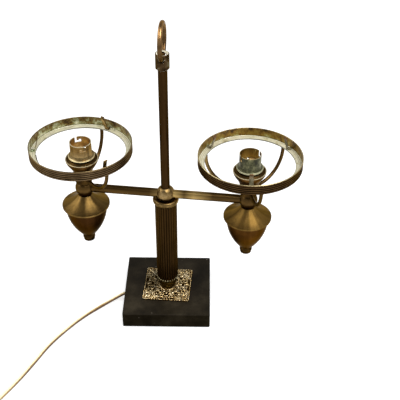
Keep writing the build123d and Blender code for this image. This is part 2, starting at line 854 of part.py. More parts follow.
def path_gap(edges):
    """The least distance between a path's middle line and itself, apart from neighbouring points."""
    spacing = cord_diameter / 2
    points = []
    for edge in edges:
        count = max(2, round(edge.length / spacing))
        points += [edge @ (i / count) for i in range(count)]
    skip = round(pi * cord_diameter / spacing)
    pairs = ((a, b) for i, a in enumerate(points) for b in points[i + skip :])
    return min(hypot(a.X - b.X, a.Y - b.Y, a.Z - b.Z) for a, b in pairs)


def cord_tube(name, path):
    """Flex along a path. Prints its length, and its volume over that of a straight piece as long."""
    solid = swept(path, cord_diameter)
    straight = pi * cord_radius**2 * path.length
    print(name, "length", round(path.length, 1), "volume share", round(solid.volume / straight, 4))
    return solid


def make_cord():
    """Free stretch of flex on the table."""
    path, radii = tube_path(cord_points())
    print("cord radii", [round(r, 1) for r in radii])
    return cord_tube("cord", path)


def make_coil():
    """Most of the flex, wound into a tied coil of two layers."""
    arcs, centre, azimuth = coil_arcs()
    points, heading = tail_points(arcs[-1] @ 1, azimuth)
    tail, radii = tube_path(points)
    print("coil gap", round(path_gap(arcs + tail.edges()) - cord_diameter, 3))
    return cord_tube("coil", Wire(arcs))


def make_tail():
    """Flex from the coil to the plug."""
    arcs, centre, azimuth = coil_arcs()
    points, heading = tail_points(arcs[-1] @ 1, azimuth)
    path, radii = tube_path(points)
    print("tail radii", [round(r, 1) for r in radii])
    return cord_tube("tail", path)


def make_tie():
    """Flat band round the coil, where the two layers' turns lie over each other."""
    arcs, centre, azimuth = coil_arcs()
    outer = coil_radius - coil_pitch / 2 + cord_radius + tie_gap
    innermost = coil_radius - coil_pitch * (coil_half_turns - 1) / 2
    inner = sqrt(innermost**2 - (tie_width / 2 + coil_pitch / 2) ** 2) - cord_radius - tie_gap
    width, height = outer - inner, coil_pitch + cord_diameter + 2 * tie_gap
    hole = RectangleRounded(width, height, cord_radius)
    wrap = 2 * tie_thickness
    band = RectangleRounded(width + wrap, height + wrap, cord_radius + tie_thickness)
    tie = extrude(Plane.XZ * (band - hole), tie_width / 2, both=True)
    place = Pos(centre.X, centre.Y, coil_floor + coil_pitch / 2) * Rot(0, 0, azimuth - 90)
    return place * Pos((inner + outer) / 2, 0, 0) * tie


def plug_place():
    """Where the plug lies: the tail's end, facing along its last run."""
    arcs, centre, azimuth = coil_arcs()
    points, heading = tail_points(arcs[-1] @ 1, azimuth)
    return Pos(*points[-1]) * Rot(0, 0, heading)


def pin_bars():
    """The plug's two pins, from inside its nose."""
    bar = Cylinder(pin_diameter / 2, pin_root_depth + pin_length, align=UP)
    pin = Rot(0, 90, 0) * fillet(bar.edges().sort_by(Axis.Z)[-1], pin_tip_radius)
    start = plug_length - pin_root_depth
    return [Pos(start, side * pin_spacing / 2, 0) * pin for side in (1, -1)]


def make_plug_body():
    """Flat plug body, narrow where the flex enters and wide across its pins."""
    half = plug_width / 2
    outline = [
        (0, plug_tail_width / 2),
        (plug_tail_share * plug_length, plug_tail_width / 2),
        (plug_shoulder_share * plug_length, half),
        (plug_length, plug_nose_width / 2),
    ]
    mirrored = [(x, -y) for x, y in reversed(outline)]
    body = extrude(make_face(Polyline(*outline, *mirrored, close=True)), plug_thickness / 2, both=True)
    body = fillet(body.edges().filter_by(Axis.Z), plug_corner_radius)
    flats = body.faces().filter_by(Axis.Z)
    body = fillet([edge for face in flats for edge in face.edges()], plug_edge_radius)
    for pin in pin_bars():
        body -= pin
    return plug_place() * body


def make_plug_pins():
    """The plug's pins."""
    return plug_place() * Compound(pin_bars())


NODES = {
    "base_slab": make_slab(),
    "base_felt": make_felt(),
    "cord_bush": make_bush(),
    "inner_flex": make_inner_flex(),
    "connector_block": make_block(),
    "scroll_plate": make_plate(),
    "column_foot": make_foot(),
    "column_tube": make_column(),
    "column_capital": make_capital(),
    "hub_ball": make_hub_ball(),
    "mast_tube": make_mast(),
    "mast_ferrule": make_ferrule(),
    "carry_ring": make_carry_ring(),
    "tie_rod": make_tie_rod(),
    "base_nut": Compound([make_nut(), make_washer()]),
    "left_arm": make_arm(-1),
    "right_arm": make_arm(1),
    "inner_leads": Compound([make_lead(1), make_lead(-1)]),
    "cord_run": make_cord(),
    "cord_coil": make_coil(),
    "cord_tail": make_tail(),
    "coil_tie": make_tie(),
    "plug_body": make_plug_body(),
    "plug_pins": make_plug_pins(),
}

heads = (
    ("left", -1, left_prong_azimuth, left_slot_azimuth, left_clip_angles),
    ("right", 1, right_prong_azimuth, right_slot_azimuth, right_clip_angles),
)
for head, side, prong_azimuth, slot_azimuth, clip_angles in heads:
    place = Pos(side * arm_reach, 0, 0)
    prongs_turn = place * Rot(0, 0, prong_azimuth)
    NODES[f"{head}_head_ball"] = place * Rot(0, 0, 90 + 90 * side) * make_head_ball()
    NODES[f"{head}_font_cover"] = place * make_cover()
    NODES[f"{head}_font_bowl"] = place * make_bowl()
    NODES[f"{head}_font_knob"] = place * make_knob()
    NODES[f"{head}_font_stud"] = place * make_stud()
    NODES[f"{head}_prong_hub"] = prongs_turn * make_prong_hub()
    NODES[f"{head}_prongs"] = prongs_turn * make_prongs()
    NODES[f"{head}_gallery_ring"] = place * make_gallery()
    NODES[f"{head}_gallery_clips"] = place * make_clips(clip_angles)
    NODES[f"{head}_socket_cup"] = place * make_cup()
    NODES[f"{head}_nipple"] = place * Compound([make_nipple(), make_cup_nut()])
    NODES[f"{head}_holder_base"] = place * make_holder_base()
    NODES[f"{head}_holder_barrel"] = place * make_barrel(slot_azimuth)
    NODES[f"{head}_holder_insulator"] = place * make_insulator(slot_azimuth)
    for letter, spot in zip("ab", plunger_places(slot_azimuth)):
        NODES[f"{head}_plunger_{letter}"] = place * spot * make_plunger()
        NODES[f"{head}_spring_{letter}"] = place * spot * make_spring()

os.makedirs("parts", exist_ok=True)
for name, solid in NODES.items():
    export_step(solid, f"parts/{name}.step")
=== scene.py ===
from math import cos, pi, radians, sin

import bpy
import numpy as np
from mathutils import Matrix, Vector


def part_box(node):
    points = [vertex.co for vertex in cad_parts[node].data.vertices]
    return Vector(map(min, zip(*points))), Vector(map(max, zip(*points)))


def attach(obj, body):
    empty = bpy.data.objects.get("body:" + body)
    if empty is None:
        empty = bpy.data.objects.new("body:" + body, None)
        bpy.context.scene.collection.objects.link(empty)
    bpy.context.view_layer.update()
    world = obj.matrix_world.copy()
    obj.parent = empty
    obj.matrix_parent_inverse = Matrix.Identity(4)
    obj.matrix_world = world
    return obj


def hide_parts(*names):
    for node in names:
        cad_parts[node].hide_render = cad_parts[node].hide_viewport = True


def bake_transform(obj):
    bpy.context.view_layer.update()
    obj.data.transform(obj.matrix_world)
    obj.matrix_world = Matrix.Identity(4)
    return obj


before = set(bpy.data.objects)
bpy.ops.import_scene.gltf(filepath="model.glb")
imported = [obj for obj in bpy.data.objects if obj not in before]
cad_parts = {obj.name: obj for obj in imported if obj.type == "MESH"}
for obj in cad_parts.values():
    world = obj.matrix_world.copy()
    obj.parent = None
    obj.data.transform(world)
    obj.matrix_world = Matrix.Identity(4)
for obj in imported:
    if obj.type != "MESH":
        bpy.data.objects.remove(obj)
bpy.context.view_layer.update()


# The camera stands in front of the lamp, well above it and a little to its right, and looks down on it with a
# long lens. It is rolled by less than half a degree, as a hand-held picture is.
def add_object(name, data):
    """A new object in the scene."""
    made = bpy.data.objects.new(name, data)
    bpy.context.scene.collection.objects.link(made)
    return made


camera_place = (0.12204, -0.71173, 0.68832)
camera_heading = 6.64
camera_fall = 36.66
camera_lean = 0.42
camera_lens = bpy.data.cameras.new("camera")
camera_lens.sensor_width = 36.0
camera_lens.lens = 71.15
camera = add_object("camera", camera_lens)
camera_turn = Matrix.Rotation(radians(camera_heading), 4, "Z")
camera_turn = camera_turn @ Matrix.Rotation(radians(90 - camera_fall), 4, "X")
camera_roll = Matrix.Rotation(radians(camera_lean), 4, "Z")
camera.matrix_world = Matrix.Translation(camera_place) @ camera_turn @ camera_roll
bpy.context.scene.camera = camera
bpy.context.scene.view_settings.view_transform = "Standard"


# The flex is thin gold-coloured twin lead, two round cores side by side in one moulding, one of them finely
# ribbed. It leaves the slab, drops to the table and runs off to the front left. The length that isn't needed
# is wound into a coil of two layers and ends in a plug.
MM = 0.001


def linear(code):
    """A colour written as sRGB hex, as the linear values that the shaders take."""
    values = [int(code[i : i + 2], 16) / 255 for i in (1, 3, 5)]
    return [v / 12.92 if v <= 0.04045 else ((v + 0.055) / 1.055) ** 2.4 for v in values] + [1.0]


def feed(node, inputs):
    """Sets a node's inputs, by name or in order, or links them to a socket or a node's first live output."""
    for name, value in inputs.items() if isinstance(inputs, dict) else enumerate(inputs):
        if isinstance(value, bpy.types.Node):
            value = next(socket for socket in value.outputs if socket.enabled)
        if isinstance(value, bpy.types.NodeSocket):
            node.id_data.links.new(value, node.inputs[name])
        else:
            node.inputs[name].default_value = value


def put(tree, kind, inputs=(), ramp=None, **settings):
    """A shader node with its settings, its inputs set or linked, and the colours of its ramp."""
    made = tree.nodes.new(kind)
    for name, value in settings.items():
        setattr(made, name, value)
    feed(made, inputs)
    if ramp:
        stops = made.color_ramp.elements
        while len(stops) < len(ramp):
            stops.new(1.0)
        for stop, (place, code) in zip(stops, ramp.items()):
            stop.position = place
            stop.color = linear(code)
    return made


def new_material(name):
    """An empty material: the material, its tree, its shader and the object's own coordinates."""
    material = bpy.data.materials.new(name)
    material.use_nodes = True
    tree = material.node_tree
    coords = put(tree, "ShaderNodeTexCoord")
    return material, tree, tree.nodes["Principled BSDF"], coords.outputs["Object"]


def waves(tree, value, spacing):
    """A sine wave along a value, its crests a spacing apart."""
    phase = put(tree, "ShaderNodeMath", [value, 2 * pi / spacing], operation="MULTIPLY")
    return put(tree, "ShaderNodeMath", [phase], operation="SINE")


def between(tree, place, axis, start_mm, end_mm, low=0.0, high=1.0):
    """A value that goes from low to high between two places along an axis, in millimetres."""
    split = put(tree, "ShaderNodeSeparateXYZ", [place])
    limits = {"From Min": start_mm * MM, "From Max": end_mm * MM, "To Min": low, "To Max": high}
    return put(tree, "ShaderNodeMapRange", {"Value": split.outputs[axis], **limits})


def finish(material, *names):
    """Gives CAD nodes a material."""
    for name in names:
        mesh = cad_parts[name].data
        mesh.materials.clear()
        mesh.materials.append(material)


def towards(degrees):
    """A level step of one unit in a direction."""
    return Vector((cos(radians(degrees)), sin(radians(degrees)), 0))


def select_only(*pieces):
    """Selects pieces and nothing else, and makes the first of them active."""
    bpy.ops.object.select_all(action="DESELECT")
    for piece in pieces:
        piece.select_set(True)
    bpy.context.view_layer.objects.active = pieces[0]


def start_mesh(name, points, edges=(), faces=()):
    """A new object with these points, edges and faces, the only one selected."""
    mesh = bpy.data.meshes.new(name)
    mesh.from_pydata(points, edges, faces)
    piece = add_object(name, mesh)
    select_only(piece)
    return piece


def edit_all():
    """Opens the active piece in edit mode with all of it selected."""
    bpy.ops.object.mode_set(mode="EDIT")
    bpy.ops.mesh.select_all(action="SELECT")


def face_outwards():
    """Turns all faces of the active piece outwards and leaves edit mode."""
    edit_all()
    bpy.ops.mesh.normals_make_consistent(inside=False)
    bpy.ops.object.mode_set(mode="OBJECT")


def frames_along(path):
    """Each point of a path with the level direction across it and the one up from it."""
    for i, point in enumerate(path):
        ahead = (path[min(i + 1, len(path) - 1)] - path[max(i - 1, 0)]).normalized()
        aside = ahead.cross(Vector((0, 0, 1))).normalized()
        yield point, aside, aside.cross(ahead)


def skin(name, rings):
    """A tube over rings of points, closed at both ends, the only object selected."""
    count = len(rings[0])
    points = [point for ring in rings for point in ring]
    faces = []
    for start in range(0, len(points) - count, count):
        for k in range(count):
            a, b = start + k, start + (k + 1) % count
            faces.append((a, a + count, b + count, b))
    faces.append(tuple(range(count)))
    faces.append(tuple(reversed(range(len(points) - count, len(points)))))
    piece = start_mesh(name, points, faces=faces)
    face_outwards()
    return piece


flex_width = 4.8 * MM
flex_core = 2.5 * MM
flex_route = [
    (-52.88, -5.84, 6.0), (-55.6, -6.9, 5.5), (-66.4, -14.9, 2.9), (-77.2, -25.6, 1.5),
    (-96.8, -48.0, 1.35), (-112.9, -73.6, 1.35), (-126.0, -99.3, 1.35), (-134.6, -126.0, 1.35),
    (-143.5, -151.1, 1.35), (-157.3, -182.0, 1.4), (-170.4, -208.5, 2.6), (-175.2, -227.9, 2.9),
]
coil_radius = 38.5
coil_pitch = 5.25
coil_half_turns = 8
coil_height = 3.15
coil_azimuth = 166.1
coil_centre = Vector((-138.98, -241.81, coil_height))
points_per_half_turn = 8
step = 180 / points_per_half_turn
# A quadratic spline runs inside its control points by this share of the radius
outside = 1 / (0.75 + 0.25 * cos(radians(step)))
for i in range(2 * coil_half_turns + 1):
    shrink = coil_half_turns - abs(coil_half_turns - i)
    turn_radius = coil_radius - shrink * coil_pitch / 2
    offset = 0 if i % 2 == 0 else (-0.5 if i < coil_half_turns else 0.5) * coil_pitch
    upper = i > coil_half_turns
    last = i == 2 * coil_half_turns
    for k in range(points_per_half_turn // 2 if last else points_per_half_turn):
        climb = (k + 0.5) / points_per_half_turn if i == coil_half_turns else upper
        out = towards(coil_azimuth + 180 * i + (k + 0.5) * step)
        spot = coil_centre + towards(coil_azimuth) * offset + out * turn_radius * outside
        flex_route.append((spot.x, spot.y, coil_height + climb * coil_pitch))
# The tail leaves the coil for the plug: each run's length, its turn in degrees and the height at its end
flex_tail = [(12, 0, 8.4), (20, 4, 4.4), (18, 12, 2.2), (18, 12, 4.0), (16, 6, 6.85), (12, 0, 6.85)]
heading = coil_azimuth + 180
spot = coil_centre + towards(heading - 90) * coil_radius
spot += towards(heading) * flex_width / MM
flex_route.append((spot.x, spot.y, coil_height + coil_pitch))
for run, turn, height in flex_tail:
    heading += turn
    spot += towards(heading) * run
    flex_route.append((spot.x, spot.y, height))

flex_line = bpy.data.curves.new("flex_line", "CURVE")
flex_line.dimensions = "3D"
spline = flex_line.splines.new("NURBS")
spline.points.add(len(flex_route) - 1)
for point, place in zip(spline.points, flex_route):
    point.co = [value * MM for value in place] + [1.0]
spline.order_u = 3
spline.use_endpoint_u = True
spline.resolution_u = 10
line_object = add_object("flex_line", flex_line)
line_drawn = line_object.evaluated_get(bpy.context.evaluated_depsgraph_get())
flex_path = [vertex.co.copy() for vertex in bpy.data.meshes.new_from_object(line_drawn).vertices]
bpy.data.objects.remove(line_object)

# The section of the twin lead, from the waist round the smooth core and back round the ribbed one
core_radius = flex_core / 2
core_offset = flex_width / 2 - core_radius
section = []
for side in (1, -1):
    for k in range(8):
        angle = radians(-145 + k * 290 / 7)
        section.append((side * (core_offset + core_radius * cos(angle)), side * core_radius * sin(angle)))
flex_rings, flex_along = [], []
distance = 0.0
for i, (point, aside, above) in enumerate(frames_along(flex_path)):
    distance += (point - flex_path[max(i - 1, 0)]).length
    flex_rings.append([point + aside * x + above * y for x, y in section])
    flex_along += [(distance, x) for x, y in section]
flex = skin("flex", flex_rings)
flex_uv = flex.data.uv_layers.new(name="along")
for loop in flex.data.loops:
    flex_uv.data[loop.index].uv = flex_along[loop.vertex_index]
bpy.ops.object.shade_smooth()

# Gold-tinted PVC, extruded, one core ribbed with ribs 1.2 mm apart. They are drawn coarser than real ones so
# that they show. Across its width it is painted from brown on the ribbed core to cream on the smooth one:
# painted shade on one side and painted light on the other.
rib_spacing = 1.2 * MM
flex_pvc, tree, shader, place = new_material("gold_tinted_pvc")
along = put(tree, "ShaderNodeUVMap", uv_map="along")
split = put(tree, "ShaderNodeSeparateXYZ", [along])
ribs = waves(tree, split.outputs["X"], rib_spacing)
ribbed = put(tree, "ShaderNodeMath", [split.outputs["Y"], 0.0], operation="LESS_THAN")
ribs = put(tree, "ShaderNodeMath", [ribs, ribbed], operation="MULTIPLY")
cloud = put(tree, "ShaderNodeTexNoise", {"Vector": place, "Scale": 1 / (60 * MM), "Detail": 1.0})
# Painted light and shade across the flex: darker towards the ribbed core, lighter towards the smooth one
across = between(tree, along, "Y", -flex_width / 2 / MM, flex_width / 2 / MM, -0.28, 0.44)
shade = put(tree, "ShaderNodeMath", [cloud, across], operation="ADD")
gold_stops = {0.28: "#5a3c18", 0.46: "#b4945a", 0.62: "#fff2c8"}
tint = put(tree, "ShaderNodeValToRGB", {"Fac": shade}, ramp=gold_stops)
bump = put(tree, "ShaderNodeBump", {"Height": ribs, "Strength": 0.6, "Distance": 0.15 * MM})
feed(shader, {"Base Color": tint, "Roughness": 0.42, "IOR": 1.53, "Normal": bump})
flex.data.materials.append(flex_pvc)
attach(flex, "lamp")
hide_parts("cord_run", "cord_coil", "cord_tail")
finish(flex_pvc, "inner_flex")


# The slab is a square of black stone, sawn, honed on top and oiled, with eased edges and a few small chips.
# Green felt is glued under it.
# Honed black stone: nearly black and slightly brown, with soft clouds, pale chips and no gloss on its sides
chip_size = 0.045
black_stone, tree, shader, place = new_material("honed_black_stone")
clouds = {"Scale": 1 / (26 * MM), "Detail": 5.0, "Roughness": 0.55}
cloud = put(tree, "ShaderNodeTexNoise", {"Vector": place, **clouds})
grain = put(tree, "ShaderNodeTexNoise", {"Vector": place, "Scale": 1 / (1.2 * MM), "Detail": 2.0})
mottle = put(tree, "ShaderNodeMix", {"Factor": 0.22, 2: cloud, 3: grain})
stone_stops = {0.36: "#16120b", 0.5: "#211c13", 0.68: "#332d22"}
tint = put(tree, "ShaderNodeValToRGB", {"Fac": mottle}, ramp=stone_stops)
chips = put(tree, "ShaderNodeTexVoronoi", {"Vector": place, "Scale": 1 / (13 * MM), "Randomness": 1.0})
chipped = put(tree, "ShaderNodeMath", [chips, chip_size], operation="LESS_THAN")
stone = put(tree, "ShaderNodeMix", {"Factor": chipped, 6: tint, 7: linear("#6e675c")}, data_type="RGBA")
dull = put(tree, "ShaderNodeMapRange", {"Value": mottle, "To Min": 0.36, "To Max": 0.56})
honed = between(tree, place, "Z", 19.6, 20.4, 0.0, 0.07)
bump = put(tree, "ShaderNodeBump", {"Height": grain, "Strength": 0.1, "Distance": 0.1 * MM})
feed(shader, {"Base Color": stone, "Roughness": dull, "Specular IOR Level": honed, "Normal": bump})
finish(black_stone, "base_slab")


def mottled(name, patch_mm, detail, stops, roughness):
    """A dull material with patches of a size and of the ramp's colours: its parts, and the patches."""
    material, tree, shader, place = new_material(name)
    spots = {"Vector": place, "Scale": 1 / (patch_mm * MM), "Detail": detail}
    patches = put(tree, "ShaderNodeTexNoise", spots)
    tint = put(tree, "ShaderNodeValToRGB", {"Fac": patches}, ramp=stops)
    feed(shader, {"Base Color": tint, "Roughness": roughness})
    return material, tree, shader, place, patches


# Wool felt: a dull green with short fibres
green_felt, tree, shader, _, fibre = mottled(
    "green_wool_felt", 0.8, 3.0, {0.3: "#152218", 0.7: "#2a3d2c"}, 0.95
)
bump = put(tree, "ShaderNodeBump", {"Height": fibre, "Strength": 0.5, "Distance": 0.3 * MM})
feed(shader, {"Normal": bump})
finish(green_felt, "base_felt")


# The cord hole is lined by a turned brass bush with a rounded mouth, pressed into the stone, so that the flex
# doesn't rub on its edge.
def patina(name, stops, roughness, patch_mm, stretch=(1.0, 1.0, 1.0), edge="#c4bcae"):
    """Metal under patina: its colours, roughness, the patches' size and stretch, and the tint at a slant.

    Gives the material, its tree, its shader, the object's coordinates and the patches' colour.
    """
    material, tree, shader, place = new_material(name)
    drawn = put(tree, "ShaderNodeMapping", {"Vector": place, "Scale": stretch})
    rough = {"Scale": 1 / (patch_mm * MM), "Detail": 5.0, "Roughness": 0.6}
    patches = put(tree, "ShaderNodeTexNoise", {"Vector": drawn, **rough})
    fine = put(tree, "ShaderNodeTexNoise", {"Vector": drawn, "Scale": 1 / (0.9 * MM), "Detail": 3.0})
    mixed = put(tree, "ShaderNodeMix", {"Factor": 0.25, 2: patches, 3: fine})
    tint = put(tree, "ShaderNodeValToRGB", {"Fac": mixed}, ramp=stops)
    sheen = {"From Min": 0.3, "From Max": 0.7, "To Min": roughness + 0.08, "To Max": roughness - 0.05}
    dull = put(tree, "ShaderNodeMapRange", {"Value": mixed, **sheen})
    bump = put(tree, "ShaderNodeBump", {"Height": fine, "Strength": 0.06, "Distance": 0.2 * MM})
    feed(shader, {"Base Color": tint, "Roughness": dull, "Normal": bump})
    feed(shader, {"Metallic": 1.0, "Specular Tint": linear(edge)})
    return material, tree, shader, place, tint


def turn_up(name, outline_mm, steps, x=0.0):
    """A solid turned about an upright axis at x, from a closed outline of radius and height in mm."""
    points = [(r * MM, 0, z * MM) for r, z in outline_mm]
    piece = start_mesh(name, points, [(i, (i + 1) % len(points)) for i in range(len(points))])
    edit_all()
    bpy.ops.mesh.spin(steps=steps, angle=2 * pi, center=(0, 0, 0), axis=(0, 0, 1))
    bpy.ops.mesh.select_all(action="SELECT")
    bpy.ops.mesh.remove_doubles(threshold=0.001 * MM)
    face_outwards()
    bpy.ops.object.shade_smooth_by_angle(angle=radians(40))
    piece.data.transform(Matrix.Translation((x, 0, 0)))
    return piece


bush_turn = 6.3
bush_mouth = (-52.0 * MM, 0, 6.0 * MM)
bush_outline = [
    (2.55, -26.9), (3.75, -26.9), (3.75, 0.0), (5.2, 0.0), (5.2, 0.45), (5.0, 0.85), (4.5, 1.15), (3.9, 1.2),
    (3.3, 0.9), (2.9, 0.3), (2.6, -0.8), (2.55, -2.0),
]
bush = turn_up("cord_mouth", bush_outline, 40)
bush_place = Matrix.Rotation(radians(bush_turn), 4, "Z") @ Matrix.Translation(bush_mouth)
bush.data.transform(bush_place @ Matrix.Rotation(radians(-90), 4, "Y"))

# Turned brass gone brown: dull dark gold
brown_brass, *_ = patina("brown_brass", {0.36: "#22170a", 0.5: "#34240f", 0.66: "#4e3919"}, 0.34, 10.0)
bush.data.materials.append(brown_brass)
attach(bush, "lamp")
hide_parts("cord_bush")


# Under the slab a nut and washer of zinc-plated steel pull on the hollow tie rod. A connector block joins the
# flex to the leads, which run up the rod and out along the arms.
def both(part):
    """The names of a part's CAD nodes, one on each side."""
    return [f"{side}_{part}" for side in ("left", "right")]


zinc_steel, *_ = patina(
    "zinc_plated_steel", {0.35: "#6d6f70", 0.5: "#8f9192", 0.68: "#b3b4b2"}, 0.4, 4.0, edge="#d8d8d6"
)
finish(zinc_steel, "base_nut")
# Rolled threads on a brass rod, 1 mm apart
thread_pitch = 1.0 * MM
thread_brass, tree, shader, place, _ = patina(
    "threaded_brass", {0.35: "#6a5226", 0.5: "#8d7038", 0.68: "#ae9050"}, 0.38, 6.0
)
split = put(tree, "ShaderNodeSeparateXYZ", [place])
thread = waves(tree, split.outputs["Z"], thread_pitch)
bump = put(tree, "ShaderNodeBump", {"Height": thread, "Strength": 0.7, "Distance": 0.3 * MM})
feed(shader, {"Normal": bump})
finish(thread_brass, "tie_rod", *both("nipple"), *both("font_stud"))
# Brown phenolic, moulded: a faint marbling and a low gloss
phenolic, _, shader, _, marble = mottled(
    "brown_phenolic", 3, 4.0, {0.35: "#23150c", 0.65: "#3b2413"}, 0.32
)
feed(marble, {"Distortion": 1.5})
feed(shader, {"IOR": 1.6})
finish(phenolic, "connector_block")
# Black PVC over the leads, a little greyed by handling
lead_pvc, *_ = mottled("black_pvc", 12, 3.0, {0.3: "#111111", 0.7: "#262524"}, 0.48)
finish(lead_pvc, "inner_leads")


# The scroll plate is a square brass casting on the slab, covered in leaf scrolls with a beaded edge. Its tops
# are rubbed to pale gold and its hollows are full of old polish.
plate_half = 27.7
plate_bulge = 0.8
plate_scallops = 7
plate_foot = 20.6
plate_floor = 21.45
plate_crest = 22.6
plate_cells = 190
plate_turn = 2.6
seat_radius = 9.2
collar_radius = 10.1
# Each scroll winds in round its middle: x, y, outer and inner radius, start in degrees, turns and half width
scrolls = [
    (20.4, 6.4, 4.9, 0.9, 215, -1.45, 1.05),
    (12.6, 3.6, 3.0, 0.6, 30, 1.3, 0.8),
    (19.8, 15.6, 4.1, 0.8, 300, 1.5, 1.0),
    (11.6, 10.4, 2.6, 0.6, 140, -1.2, 0.8),
    (25.2, 11.2, 1.9, 0.5, 60, 1.2, 0.6),
    (24.6, 20.6, 2.0, 0.5, 200, -1.2, 0.6),
]
# Each leaf is a bent stroke: its two ends, the point that it bends towards and its half width
leaves = [
    (10.5, 0.0, 17.0, 0.0, 14.0, 1.2, 1.0),
    (22.0, 0.0, 26.0, 1.2, 24.0, 1.6, 0.9),
    (16.5, 5.0, 14.6, 9.2, 14.4, 6.6, 0.8),
    (15.4, 12.4, 15.6, 18.0, 13.6, 15.2, 0.8),
    (17.6, 17.6, 26.0, 26.0, 21.8, 21.8, 1.1),
    (22.2, 24.8, 19.6, 22.6, 21.6, 23.0, 0.7),
    (24.0, 15.4, 26.2, 17.6, 25.6, 15.8, 0.7),
    (21.6, 11.2, 23.4, 8.8, 23.2, 10.4, 0.7),
    (16.2, 20.4, 19.0, 26.0, 16.2, 23.6, 0.7),
    (13.0, 22.6, 14.6, 26.2, 13.0, 24.8, 0.6),
]
# The relief is drawn in dots of x, y and radius over an eighth of the plate, and mirrored
strokes = []
for x, y, outer, inner, start, turns, width in scrolls:
    for t in np.linspace(0, 1, 46):
        angle = radians(start + 360 * turns * t)
        radius = outer + (inner - outer) * t**0.8
        strokes.append((x + radius * cos(angle), y + radius * sin(angle), width * (1 - 0.35 * t)))
for x0, y0, x1, y1, bend_x, bend_y, width in leaves:
    for t in np.linspace(0, 1, 24):
        a, b, c = (1 - t) ** 2, 2 * t * (1 - t), t**2
        thick = width * (0.45 + 0.55 * sin(pi * t))
        strokes.append((a * x0 + b * bend_x + c * x1, a * y0 + b * bend_y + c * y1, thick))
bead_count = 14
bead_spacing = 2.0
bead_radius = 0.85
for k in range(bead_count):
    strokes.append((plate_half - 0.2, 1.0 + bead_spacing * k, bead_radius))
collar_dots = 24
collar_width = 0.75
for k in range(collar_dots + 1):
    angle = radians(90 * k / collar_dots)
    strokes.append((collar_radius * cos(angle), collar_radius * sin(angle), collar_width))
bud_rows = 13
bud_spacing = 2.8
bud_radius = 1.1
bud_clearance = 1.6
for i in range(bud_rows):
    for k in range(i + 1):
        x, y = 1.2 + i * bud_spacing, 0.8 + k * bud_spacing + 0.4 * (i % 2)
        if min((x - a) ** 2 + (y - b) ** 2 for a, b, width in strokes) > bud_clearance**2:
            strokes.append((x, y, bud_radius))
strokes += [(y, x, width) for x, y, width in strokes]

bpy.ops.mesh.primitive_grid_add(x_subdivisions=plate_cells, y_subdivisions=plate_cells, size=2.0)
plate = bpy.context.object
plate.name = "scroll_relief"
grid = np.zeros(len(plate.data.vertices) * 3)
plate.data.vertices.foreach_get("co", grid)
grid = grid.reshape(-1, 3)
u, v = grid[:, 0].copy(), grid[:, 1].copy()
bulges = [plate_bulge * (1 - (2 * np.mod((w + 1) * plate_scallops / 2, 1) - 1) ** 2) for w in (u, v)]
grid[:, 0] = u * (plate_half + bulges[1] * np.abs(u) ** 6)
grid[:, 1] = v * (plate_half + bulges[0] * np.abs(v) ** 6)
fold_x, fold_y = np.abs(grid[:, 0]), np.abs(grid[:, 1])
ridge = np.zeros(len(grid))
for x, y, width in strokes:
    ridge = np.maximum(ridge, 1 - ((fold_x - x) ** 2 + (fold_y - y) ** 2) / width**2)
ridge = np.sqrt(np.maximum(ridge, 0))
ridge[np.hypot(fold_x, fold_y) < seat_radius] = 1.0
grid[:, 2] = plate_floor + (plate_crest - plate_floor) * ridge
plate.data.vertices.foreach_set("co", (grid * MM).ravel())
plate.data.update()
# The rim goes down past the plate's foot and is then cut level with it
bpy.ops.object.mode_set(mode="EDIT")
bpy.ops.mesh.select_all(action="DESELECT")
bpy.ops.mesh.select_mode(type="EDGE")
bpy.ops.mesh.select_non_manifold()
bpy.ops.mesh.extrude_region_move(TRANSFORM_OT_translate={"value": (0, 0, -5 * MM)})
bpy.ops.object.mode_set(mode="OBJECT")
for vertex in plate.data.vertices:
    vertex.co.z = max(vertex.co.z, plate_foot * MM)
bpy.ops.object.mode_set(mode="EDIT")
bpy.ops.mesh.edge_face_add()
bpy.ops.mesh.select_mode(type="VERT")
face_outwards()
plate.data.transform(Matrix.Rotation(radians(plate_turn), 4, "Z"))
bpy.ops.object.shade_smooth_by_angle(angle=radians(50))

# Cast brass: cream and gold on the tops, brown in the hollows, by height. A painted light makes it brightest
# along the front, and a painted shadow of the column makes it dull on the left.
cast_brass, tree, shader, place, tint = patina(
    "cast_brass", {0.36: "#88704a", 0.5: "#d2bb8a", 0.66: "#fff4da"}, 0.24, 4.0
)
height = between(tree, place, "Z", 21.55, 22.5)
depth_stops = {0.0: "#54452c", 0.35: "#705d3c", 0.7: "#bcaa84", 0.95: "#ffffff"}
depth = put(tree, "ShaderNodeValToRGB", {"Fac": height}, ramp=depth_stops)
multiply = {"data_type": "RGBA", "blend_type": "MULTIPLY"}
hollows_darkened = put(tree, "ShaderNodeMix", {"Factor": 1.0, 6: tint, 7: depth}, **multiply)
# Painted shadow of the column on the plate's left, and painted light along its front
patch = put(tree, "ShaderNodeVectorMath", [place, (20 * MM, -4 * MM, 0)], operation="ADD")
patch = put(tree, "ShaderNodeVectorMath", [patch, (1, 0.6, 0)], operation="MULTIPLY")
patch = put(tree, "ShaderNodeVectorMath", [patch], operation="LENGTH")
spread = {"From Min": 6 * MM, "From Max": 17 * MM, "To Min": 0.36}
painted_shadow = put(tree, "ShaderNodeMapRange", {"Value": patch, **spread}, interpolation_type="SMOOTHSTEP")
front = between(tree, place, "Y", -22, -12, 1.25)
painted_light = put(tree, "ShaderNodeMath", [painted_shadow, front], operation="MULTIPLY")
lit_and_shaded = put(tree, "ShaderNodeVectorMath", {0: hollows_darkened, "Scale": painted_light}, operation="SCALE")
feed(shader, {"Base Color": lit_and_shaded})
plate.data.materials.append(cast_brass)
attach(plate, "lamp")
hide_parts("scroll_plate")


